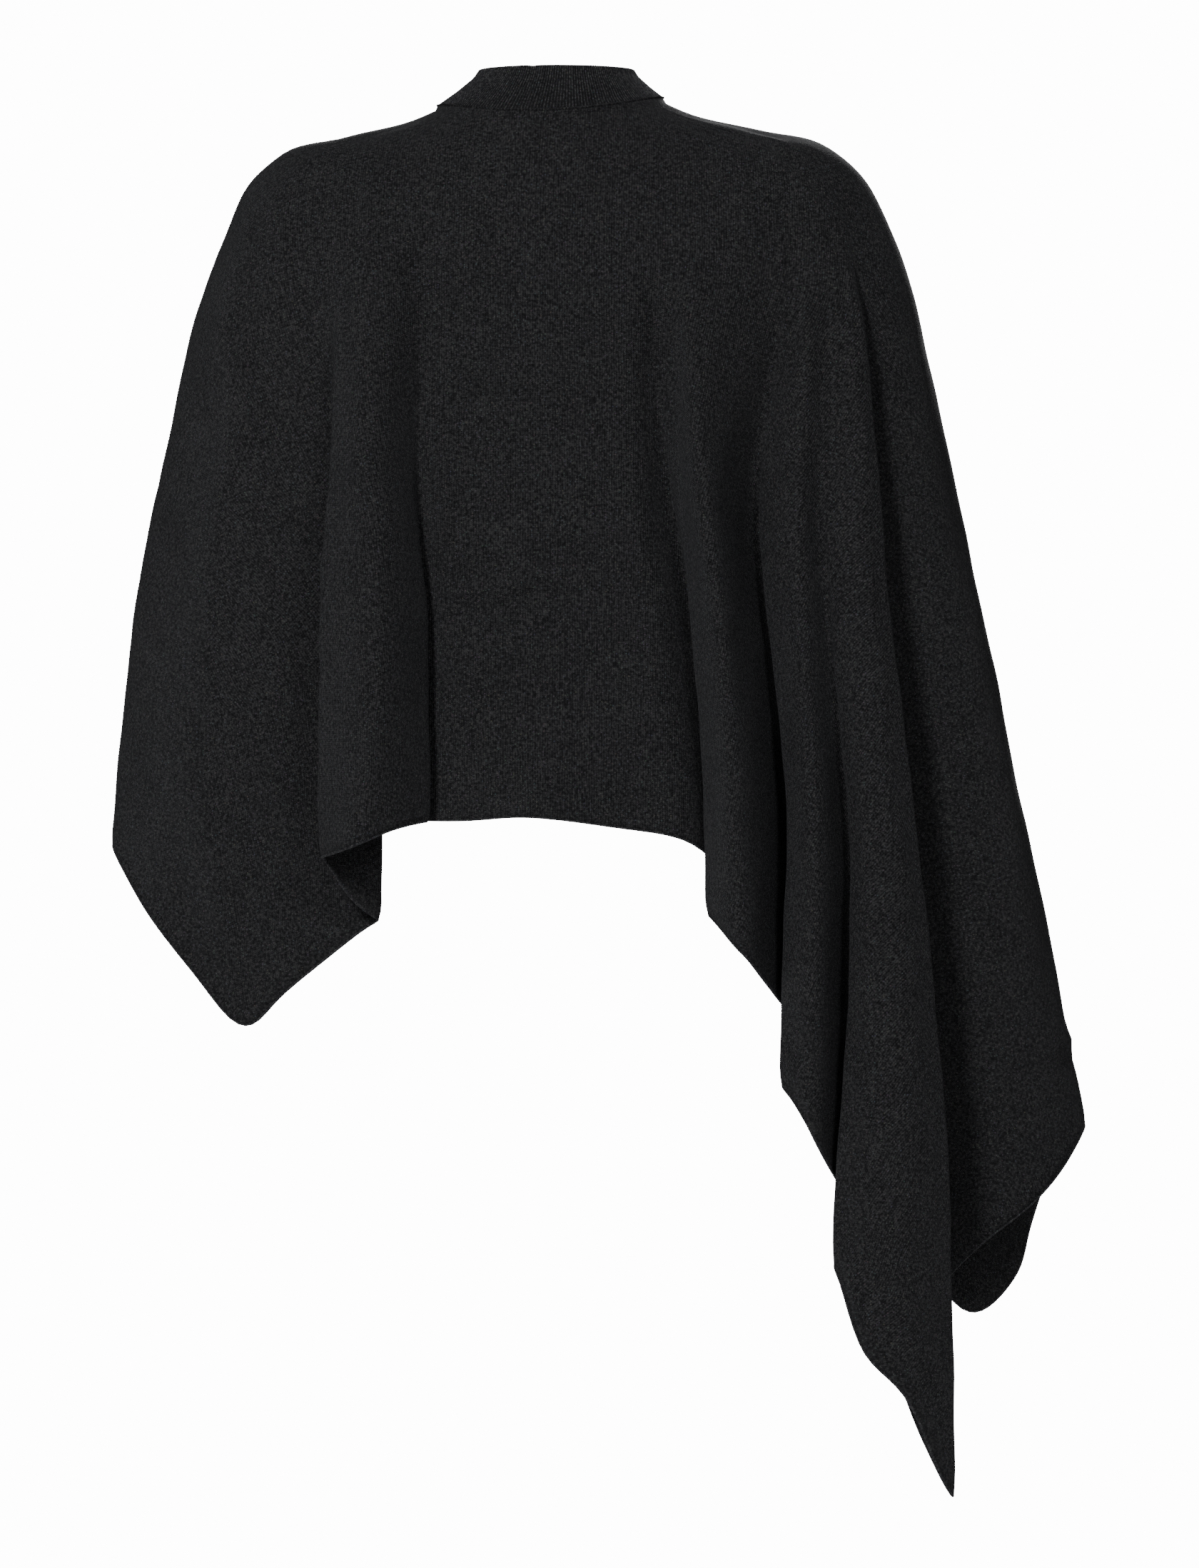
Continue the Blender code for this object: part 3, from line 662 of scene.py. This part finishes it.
def knit_finish(name, dark, light, sheen, stitch_depth, mottle=0.2):
    """Knit between a dark and a light grey, with its stitches that deep and its patches that strong."""
    finish = Finish(name)
    uv = finish.add("ShaderNodeUVMap", {"uv_map": "cloth"}, {})
    across = finish.add("ShaderNodeSeparateXYZ", {}, {0: uv})
    down = Wire(finish, across.socket.node.outputs[1])
    point = finish.add("ShaderNodeTexCoord", {}, {}, out="Object")
    fuzz = finish.add("ShaderNodeTexNoise", {}, {"Vector": point, "Scale": FUZZ_SCALE, "Detail": 3.0})
    patches = finish.add("ShaderNodeTexNoise", {}, {"Vector": point, "Scale": PATCH_SCALE, "Detail": 4.0})
    wander = finish.add(
        "ShaderNodeTexNoise",
        {"noise_dimensions": "2D"},
        {"Vector": uv, "Scale": WANDER_SCALE, "Detail": 1.0},
    )
    wale = (across * (2 * math.pi / STITCH_WIDTH) + wander * 5.0).wave()
    course = ((down + wale * (0.5 * STITCH_HEIGHT)) * (2 * math.pi / STITCH_HEIGHT) + wander * 4.0).wave()
    stitch = wale * 0.55 + course * 0.45
    flecks = finish.add("ShaderNodeTexVoronoi", {}, {"Vector": point, "Scale": FLECK_SCALE})
    fleck = finish.ramp(flecks, ((0.10, (1, 1, 1, 1)), (0.30, (0, 0, 0, 1))))
    hue = finish.mix(0.45, grey(2.2 * light, 0.08), Wire(finish, flecks.socket.node.outputs[1]))
    tint = finish.mix(0.90, hue, grey(1.6 * light, 0.1))
    tone = (fuzz - 0.5) * FUZZ_CONTRAST + (stitch - 0.5) * STITCH_CONTRAST + (patches - 0.5) * mottle + 0.5
    middle = grey(0.35 * (dark + light), 0.12)
    cloth = finish.ramp(tone, ((0.05, grey(dark, 0.3)), (0.5, middle), (0.95, grey(light))))
    colour = finish.mix(fleck * FLECK_SHARE, cloth, tint)
    relief = stitch * 0.7 + fuzz * 0.6
    bump = finish.add("ShaderNodeBump", {}, {"Height": relief, "Distance": stitch_depth, "Strength": 0.9})
    shader = finish.add(
        "ShaderNodeBsdfPrincipled",
        {},
        {
            "Base Color": colour,
            "Roughness": fuzz * 0.12 + 0.82,
            "Normal": bump,
            "Specular IOR Level": 0.25,
            "Sheen Weight": sheen,
            "Sheen Roughness": SHEEN_ROUGHNESS,
            "Sheen Tint": (0.9, 0.92, 1.0, 1.0),
        },
    )
    finish.add("ShaderNodeOutputMaterial", {}, {"Surface": shader})
    return finish.material


body_knit = knit_finish("body_knit", 0.0018, 0.0400, 0.05, 0.0009, 0.22)
# The bound edge gets a paler copy of the knit: a painted highlight that draws a thin light outline along the
# lower edge.
lit_edge_knit = knit_finish("lit_edge_knit", 0.0080, 0.0560, 0.08, 0.0005)
# The wales get a paler copy of the knit: a painted highlight for the light that raised ribs catch.
lit_rib_knit = knit_finish("lit_rib_knit", 0.0060, 0.0620, 0.05, 0.0005)
# The band, seen in the grooves between the wales, gets a darker copy of the same knit: painted shade.
shaded_band_knit = knit_finish("shaded_band_knit", 0.0020, 0.0140, 0.04, 0.0004)
yarn = knit_finish("sewing_yarn", 0.0040, 0.0120, 0.06, 0.0002)
print("materials:", [m.name for m in bpy.data.materials])

# %% [markdown]
# ## Back and front panels
# Each panel is one wide piece of knit. It could be a plane with a Solidify modifier, but at tight folds
# that modifier pinches. Here the two faces are laid half a thickness to each side of the middle and
# closed along the four edges, so the seams and the hem show a true cloth edge.


# %% Panels
def make_object(name, mesh, material):
    mesh.materials.append(material)
    piece = bpy.data.objects.new(name, mesh)
    scene.collection.objects.link(piece)
    return piece


def cloth_mesh(name, bm, where):
    """The finished shell, with a UV map from the place of each vertex on the flat cloth."""
    layer = bm.loops.layers.uv.new("cloth")
    for face in bm.faces:
        for loop in face.loops:
            loop[layer].uv = where[loop.vert]
    bmesh.ops.recalc_face_normals(bm, faces=bm.faces)
    mesh = bpy.data.meshes.new(name)
    bm.to_mesh(mesh)
    bm.free()
    mesh.shade_smooth()
    return mesh


def panel_mesh(name, first, last, middle_column):
    """A closed sheet between two seam columns, with a UV map of its flat size in metres."""
    columns = [c % column_count for c in range(first, last + 1)]
    middle = rings[:, columns].copy()
    facing = normals[:, columns].copy()
    across = unit(np.roll(rings, -1, axis=1) - np.roll(rings, 1, axis=1))[:, columns]
    middle[:, 0] += across[:, 0] * SEAM_GAP / 2
    middle[:, -1] -= across[:, -1] * SEAM_GAP / 2
    for c, point in enumerate(middle[0].copy()):
        facing[0, c], down = seam_directions(seam_angle(point))
        middle[0, c] += down * SEAM_GAP / 2
    steps = np.linalg.norm(np.diff(middle, axis=1), axis=2)
    u = np.concatenate((np.zeros((len(middle), 1)), np.cumsum(steps, axis=1)), axis=1)
    u -= u[:, middle_column - first][:, None]
    v = down_length[:, columns]
    faces_out = middle + facing * WALL / 2
    faces_in = middle - facing * WALL / 2
    bm = bmesh.new()
    where = {}

    def lay(points):
        grid = []
        for r, row in enumerate(points):
            grid.append([bm.verts.new(p) for p in row])
            for c, vert in enumerate(grid[-1]):
                where[vert] = (u[r, c], -v[r, c])
        return grid

    out = lay(faces_out)
    back = lay(faces_in)
    rows = len(out) - 1
    width = len(out[0]) - 1
    for r in range(rows):
        for c in range(width):
            bm.faces.new((out[r][c], out[r + 1][c], out[r + 1][c + 1], out[r][c + 1]))
            bm.faces.new((back[r][c], back[r][c + 1], back[r + 1][c + 1], back[r + 1][c]))
        bm.faces.new((out[r][0], back[r][0], back[r + 1][0], out[r + 1][0]))
        bm.faces.new((out[r][width], out[r + 1][width], back[r + 1][width], back[r][width]))
    for c in range(width):
        bm.faces.new((out[0][c], out[0][c + 1], back[0][c + 1], back[0][c]))
        bm.faces.new((out[rows][c], back[rows][c], back[rows][c + 1], out[rows][c + 1]))
    mesh = cloth_mesh(name, bm, where)
    hem = float(steps[-1].sum())
    area = float(0.5 * sum(f.area for f in mesh.polygons))
    print(name, len(mesh.polygons) * 2, "triangles, hem", round(hem, 2), "m, area", round(area, 3), "m2")
    return mesh, area


def column_near(x, first, last):
    """The column whose point at mid height is nearest to x."""
    row = rings[ring_count // 2, first:last, 0]
    return first + int(np.argmin(np.abs(row - x)))


back_mesh, back_area = panel_mesh("cape_back", 0, right_seam, column_near(-0.025, 0, right_seam))
front_mesh, front_area = panel_mesh(
    "cape_front", right_seam, column_count, column_near(0.0, right_seam, column_count)
)
cape_back = make_object("cape_back", back_mesh, body_knit)
cape_front = make_object("cape_front", front_mesh, body_knit)

# %% [markdown]
# ## Neck band
# The band is a short tube of rib, folded double, so its top edge is round. It leans in towards the neck.
# Its section goes up the outside, over the top and down the inside, and is carried round the neck seam.
# A shallow groove marks where the two ends of the band are joined, left of the middle of the back.

# %% Neck band shell
BAND_COLUMNS = 432
BAND_STEPS = 16
BAND_TOP_STEPS = 6
JOIN_ANGLE = math.radians(73.0)  # the band's own join, from the left side of the neck
JOIN_DEPTH = 0.0010
JOIN_WIDTH = 0.0035
SOFT_CREASE_RISE = 0.17          # a soft crease just above the seam, right of the middle
SOFT_CREASE_HEIGHT = 0.09
SOFT_CREASE_DEPTH = 0.0009
SOFT_CREASE_FROM = math.radians(100.0)
SOFT_CREASE_TO = math.radians(150.0)
LEAN_RISES = (0.0, 0.38, 0.76, 1.0)      # shares of the band's height, and of its lean by there
LEAN_SHARES = (0.0, 0.46, 0.86, 1.0)
BAND_SLOPE_HEIGHT = 1.2 * BAND_TOP_Z


def band_point(angle, rise, offset):
    """A point of the band at a share of its height, offset outward from the middle of its wall."""
    seam = neck_point(angle)
    side = -math.cos(angle)
    back = math.sin(angle)
    top = np.array((
        BAND_TOP_MIDDLE[0] + BAND_TOP_HALF_WIDTH * side,
        BAND_TOP_MIDDLE[1] - BAND_TOP_HALF_DEPTH * back,
        BAND_TOP_Z,
    ))
    point = seam + (top - seam) * float(np.interp(rise, LEAN_RISES, LEAN_SHARES))
    point[2] = seam[2] + (top[2] - seam[2]) * rise
    facing, down = seam_directions(angle)
    if rise == 0.0:
        point -= down * SEAM_GAP / 2
    apart = (angle - JOIN_ANGLE) * BAND_TOP_HALF_WIDTH / JOIN_WIDTH
    offset -= JOIN_DEPTH * math.exp(-apart * apart)
    if SOFT_CREASE_FROM < angle < SOFT_CREASE_TO:
        swell = math.sin(math.pi * (angle - SOFT_CREASE_FROM) / (SOFT_CREASE_TO - SOFT_CREASE_FROM))
        apart = (rise - SOFT_CREASE_RISE) / SOFT_CREASE_HEIGHT
        offset -= SOFT_CREASE_DEPTH * swell * math.exp(-apart * apart)
    return point + facing * offset


def band_section():
    """(share of the height, offset) round the wall: up the outside, over the top, down the inside."""
    half = RIB_WALL / 2
    fold = half / BAND_SLOPE_HEIGHT
    rises = [(1.0 - fold) * i / BAND_STEPS for i in range(BAND_STEPS + 1)]
    outside = [(rise, half) for rise in rises]
    turn = [math.pi * i / BAND_TOP_STEPS for i in range(1, BAND_TOP_STEPS)]
    over = [(1.0 - fold + fold * math.sin(t), half * math.cos(t)) for t in turn]
    return outside + over + [(rise, -half) for rise in reversed(rises)]


def band_mesh():
    bm = bmesh.new()
    where = {}
    section = band_section()
    columns = []
    for c in range(BAND_COLUMNS):
        angle = 2.0 * math.pi * c / BAND_COLUMNS
        columns.append([bm.verts.new(band_point(angle, rise, offset)) for rise, offset in section])
        for (rise, _), vert in zip(section, columns[-1]):
            where[vert] = (angle * BAND_TOP_HALF_WIDTH, rise * BAND_TOP_Z)
    for c in range(BAND_COLUMNS):
        here = columns[c]
        beside = columns[(c + 1) % BAND_COLUMNS]
        for i in range(len(section)):
            j = (i + 1) % len(section)
            bm.faces.new((here[i], beside[i], beside[j], here[j]))
    return cloth_mesh("neck_band", bm, where)


neck_band = make_object("neck_band", band_mesh(), shaded_band_knit)
band_area = 0.5 * sum(f.area for f in neck_band.data.polygons)
print("neck band", len(neck_band.data.polygons) * 2, "triangles, area", round(band_area, 4), "m2")

# %% [markdown]
# ## Ribs, hem edge and stitches with Geometry Nodes
# Ribs, a bound edge and sewn stitches are the same thing many times along a line, so a tree makes them.
# One tree turns wires into round cords: Mesh to Curve, then Curve to Mesh with a small round profile.
# The other sets one stitch at even steps along wires. Each tree has named sizes, realizes what it
# made and sets the material. The result is kept as a plain mesh, because an export drops instances.


# %% Tree tools
CORD_SIDES = 6
STITCH_SIDES = 5


def new_tree(name, inputs):
    """A geometry node group with a geometry input, the named number inputs, and a geometry output."""
    tree = bpy.data.node_groups.new(name, "GeometryNodeTree")
    tree.interface.new_socket("Geometry", in_out="INPUT", socket_type="NodeSocketGeometry")
    for label, kind in inputs:
        tree.interface.new_socket(label, in_out="INPUT", socket_type=kind)
    tree.interface.new_socket("Geometry", in_out="OUTPUT", socket_type="NodeSocketGeometry")
    return tree


def finish_tree(tree, geometry, material):
    real = link(tree, "GeometryNodeRealizeInstances", {}, {0: geometry})
    coloured = link(tree, "GeometryNodeSetMaterial", {}, {"Geometry": real.outputs[0], "Material": material})
    link(tree, "NodeGroupOutput", {}, {0: coloured.outputs[0]})


def swept(tree, curve, radius, sides):
    """The curve as a round cord of that radius, with closed ends."""
    sizes = {"Radius": radius, "Resolution": sides}
    profile = link(tree, "GeometryNodeCurvePrimitiveCircle", {"mode": "RADIUS"}, sizes)
    parts = {"Curve": curve, "Profile Curve": profile.outputs[0], "Fill Caps": True}
    return link(tree, "GeometryNodeCurveToMesh", {}, parts).outputs[0]


def cord_tree(material):
    tree = new_tree("wires_to_cords", (("Radius", "NodeSocketFloat"), ("Sides", "NodeSocketInt")))
    start = tree.nodes.new("NodeGroupInput")
    curve = link(tree, "GeometryNodeMeshToCurve", {}, {0: start.outputs["Geometry"]})
    cords = swept(tree, curve.outputs[0], start.outputs["Radius"], start.outputs["Sides"])
    smooth = link(tree, "GeometryNodeSetShadeSmooth", {}, {0: cords})
    finish_tree(tree, smooth.outputs[0], material)
    return tree


def stitch_tree(material):
    sizes = ("Spacing", "Length", "Yarn radius")
    tree = new_tree("stitches_on_wires", [(size, "NodeSocketFloat") for size in sizes])
    start = tree.nodes.new("NodeGroupInput")
    spacing, length, radius = (start.outputs[size] for size in sizes)
    curve = link(tree, "GeometryNodeMeshToCurve", {}, {0: start.outputs["Geometry"]}).outputs[0]
    points = link(tree, "GeometryNodeCurveToPoints", {"mode": "LENGTH"}, {"Curve": curve, "Length": spacing})
    half = link(tree, "ShaderNodeMath", {"operation": "MULTIPLY"}, {0: length, 1: 0.5}).outputs[0]
    low = link(tree, "ShaderNodeMath", {"operation": "MULTIPLY"}, {0: half, 1: -1.0}).outputs[0]
    ends = {
        "Start": link(tree, "ShaderNodeCombineXYZ", {}, {"X": low}).outputs[0],
        "Middle": link(tree, "ShaderNodeCombineXYZ", {}, {"Z": radius}).outputs[0],
        "End": link(tree, "ShaderNodeCombineXYZ", {}, {"X": half}).outputs[0],
    }
    arc = link(tree, "GeometryNodeCurveQuadraticBezier", {}, {"Resolution": 3, **ends})
    placing = {
        "Points": points.outputs["Points"],
        "Instance": swept(tree, arc.outputs[0], radius, STITCH_SIDES),
        "Rotation": points.outputs["Rotation"],
    }
    placed = link(tree, "GeometryNodeInstanceOnPoints", {}, placing)
    finish_tree(tree, placed.outputs[0], material)
    return tree


def wires_mesh(name, lines):
    """A mesh of edges only: each line is a row of points, and closed where it comes back to its start."""
    mesh = bpy.data.meshes.new(name)
    points = []
    edges = []
    for line, closed in lines:
        first = len(points)
        points += [tuple(p) for p in line]
        edges += [(first + i, first + i + 1) for i in range(len(line) - 1)]
        if closed:
            edges.append((first + len(line) - 1, first))
    mesh.from_pydata(points, edges, [])
    return mesh


def grown(name, lines, tree, sizes, material):
    """A plain mesh object, made by running the tree on the lines with the given named sizes."""
    wires = bpy.data.objects.new(name + "_wires", wires_mesh(name + "_wires", lines))
    scene.collection.objects.link(wires)
    modifier = wires.modifiers.new("grow", "NODES")
    modifier.node_group = tree
    for item in tree.interface.items_tree:
        if item.item_type == "SOCKET" and item.in_out == "INPUT" and item.name in sizes:
            modifier[item.identifier] = sizes[item.name]
    graph = bpy.context.evaluated_depsgraph_get()
    mesh = bpy.data.meshes.new_from_object(wires.evaluated_get(graph), depsgraph=graph)
    mesh.name = name
    bpy.data.objects.remove(wires)
    mesh.materials.clear()
    piece = make_object(name, mesh, material)
    layer = mesh.uv_layers.get("cloth") or mesh.uv_layers.new(name="cloth")
    spots = np.array([mesh.vertices[l.vertex_index].co for l in mesh.loops])
    flat = np.stack((spots[:, 0] + spots[:, 1], spots[:, 2]), axis=1)
    layer.data.foreach_set("uv", flat.astype(np.float32).ravel())
    print(name, sum(len(p.vertices) - 2 for p in mesh.polygons), "triangles")
    return piece


cords = cord_tree(lit_rib_knit)
edge_cords = cord_tree(lit_edge_knit)
stitches = stitch_tree(yarn)

# %% [markdown]
# ## Wales of the rib
# A fine rib has about 216 raised wales round this neck, 1.7 mm apart at the top of the band. Each one is
# a cord half sunk in the band. They lean as it does, so they spread to 2.3 mm apart at the seam.

# %% Ribs
RIB_RADIUS = 0.00060
RIB_SINK = 0.00022
RIB_POINTS = 12
RIB_FROM = 0.02                  # shares of the band's height
RIB_TO = 0.985

rises = np.linspace(RIB_FROM, RIB_TO, RIB_POINTS)
rib_lines = []
for rib in range(RIBS):
    angle = 2.0 * math.pi * rib / RIBS
    rib_lines.append(([band_point(angle, rise, RIB_WALL / 2 - RIB_SINK) for rise in rises], False))
# The wales are drawn in the paler knit, a painted highlight.
ribs = grown("neck_ribs", rib_lines, cords, {"Radius": RIB_RADIUS, "Sides": CORD_SIDES}, lit_rib_knit)

# %% [markdown]
# ## Cut edge
# The lower edge isn't hemmed. The knit ends in a narrow bound edge that is a little thicker and fuzzier than
# the cloth.
# Its knit is painted paler, a painted highlight that draws the thin light outline along every lower edge.

# %% Lower edge
EDGE_RADIUS = 0.00125

edge_sizes = {"Radius": EDGE_RADIUS, "Sides": CORD_SIDES}
hem_edge = grown("hem_edge", [(list(rings[-1]), True)], edge_cords, edge_sizes, lit_edge_knit)

# %% [markdown]
# ## Sewing
# The panels are linked to each other over the shoulders and arms, and the band is linked to the neck
# opening, stitch by stitch. The stitches are small and dark and sit on a low ridge along each seam. Two
# short tacks lie under the back of the neck.

# %% Seam stitches
LINK_SPACING = 0.0026
LINK_LENGTH = 0.0020
YARN_RADIUS = 0.00028
TACK_SIZE = 0.0042
TACK_RADIUS = 1.4 * YARN_RADIUS
TACKS = ((-0.0325, -0.0106), (0.0375, -0.0056))   # x and z of their middles on the back
RIDGE_RADIUS = 0.0011            # the ridge that linking leaves along each seam
RIDGE_PROUD = 0.3 * RIDGE_RADIUS # how far it stands out of the band
RIDGE_SIDES = 8
NECK_LINE_POINTS = 240


def seam_lines(neck_out, arm_out):
    """The neck seam and both over-arm seams, that far out from the middle of the cloth."""
    angles = [2.0 * math.pi * i / NECK_LINE_POINTS for i in range(NECK_LINE_POINTS)]
    neck = [neck_point(angle) + seam_directions(angle)[0] * neck_out for angle in angles]
    arms = [rings[1:, c] + normals[1:, c] * arm_out for c in (0, right_seam)]
    return [(neck, True)] + [(arm, False) for arm in arms]


ridge_lines = seam_lines(RIB_WALL / 2 + RIDGE_PROUD - RIDGE_RADIUS, 0.0)
ridge_sizes = {"Radius": RIDGE_RADIUS, "Sides": RIDGE_SIDES}
link_ridges = grown("link_ridges", ridge_lines, edge_cords, ridge_sizes, body_knit)
stitch_lines = seam_lines(RIB_WALL / 2 + RIDGE_PROUD, WALL / 2 + YARN_RADIUS * 0.3)
stitch_sizes = {"Spacing": LINK_SPACING, "Length": LINK_LENGTH, "Yarn radius": YARN_RADIUS}
sewn = grown("seam_stitches", stitch_lines, stitches, stitch_sizes, yarn)


def tack_lines():
    """Two short upright tacks on the outer face of the back, a little below the neck seam."""
    lines = []
    outer = (rings + normals * WALL / 2)[: YOKE_RINGS // 2, :right_seam]
    for x, z in TACKS:
        apart = np.abs(outer[..., 0] - x) + np.abs(outer[..., 2] - z) + (outer[..., 1] > 0)
        r, c = np.unravel_index(np.argmin(apart), apart.shape)
        spot = outer[r, c]
        way = unit(outer[min(r + 2, len(outer) - 1), c] - outer[max(r - 2, 0), c])
        lines.append(([spot - way * TACK_SIZE / 2, spot, spot + way * TACK_SIZE / 2], False))
    return lines


tacks = grown("neck_tacks", tack_lines(), cords, {"Radius": TACK_RADIUS, "Sides": CORD_SIDES}, yarn)

# %% [markdown]
# ## Light, floor and background
# The photographed cape is lit from the camera's left: faces turned left are grey, faces turned right are
# dark, and the valleys are black. One soft light stands there, and a weak fill keeps the dark side
# readable. A third lights the hidden side, for other views. The floor lies below, out of the straight view.

# %% Studio
FLOOR_Z = -1.45
FLOOR_RADIUS = 2.6
AIM = (0.0, 0.0, -0.5)           # the middle of the cape, to which every lamp is turned
WHITE = (1.0, 1.0, 1.0, 1.0)
BACKDROP = 14.0                  # strength of the background as the camera sees it
AMBIENT = 0.06                   # and as it lights the cape


def area_light(name, place, size, power):
    data = bpy.data.lights.new(name, "AREA")
    data.shape = "DISK"
    data.size = size
    data.energy = power
    light = bpy.data.objects.new(name, data)
    light.location = place
    light.rotation_euler = (Vector(AIM) - Vector(place)).to_track_quat("-Z", "Y").to_euler()
    scene.collection.objects.link(light)
    return light


area_light("key", (-2.1, -4.5, 2.5), 1.2, 192.0)
area_light("fill", (2.1, -4.7, 1.7), 1.5, 50.0)
rear = area_light("rear", (0.9, 5.2, 1.2), 2.0, 210.0)
rear.visible_camera = False

world = bpy.data.worlds.new("studio")
world.use_nodes = True
scene.world = world
sky = world.node_tree
sky.nodes.clear()
ambient, seen = (
    link(sky, "ShaderNodeBackground", {}, {"Color": WHITE, "Strength": strength}).outputs[0]
    for strength in (AMBIENT, BACKDROP)
)
camera_ray = link(sky, "ShaderNodeLightPath", {}, {}).outputs["Is Camera Ray"]
either = link(sky, "ShaderNodeMixShader", {}, {0: camera_ray, 1: ambient, 2: seen})
link(sky, "ShaderNodeOutputWorld", {}, {"Surface": either.outputs[0]})

floor_mesh = bpy.data.meshes.new("floor")
bm = bmesh.new()
bmesh.ops.create_circle(bm, cap_ends=True, radius=FLOOR_RADIUS, segments=96)
bmesh.ops.translate(bm, verts=bm.verts, vec=(0.0, 0.0, FLOOR_Z))
bm.to_mesh(floor_mesh)
bm.free()
floor_finish = Finish("pale_floor")
speck = floor_finish.add("ShaderNodeTexNoise", {}, {"Scale": 9.0, "Detail": 3.0})
pale = floor_finish.add(
    "ShaderNodeBsdfPrincipled", {}, {"Base Color": (0.86, 0.86, 0.86, 1.0), "Roughness": speck * 0.1 + 0.75}
)
floor_finish.add("ShaderNodeOutputMaterial", {}, {"Surface": pale})
floor = make_object("floor", floor_mesh, floor_finish.material)

# %% [markdown]
# ## Hand over
# Each shell stands for its CAD node, and the small pieces ride along. All of them hang on the root, and the
# CAD nodes are hidden.

# %% Attach and finish
RIDERS = {
    "back_panel": (cape_back, hem_edge, link_ridges, sewn, tacks),
    "front_panel": (cape_front,),
    "collar": (neck_band, ribs),
}
for slot, pieces in RIDERS.items():
    for piece in pieces:
        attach(piece, "root")
    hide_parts(slot)
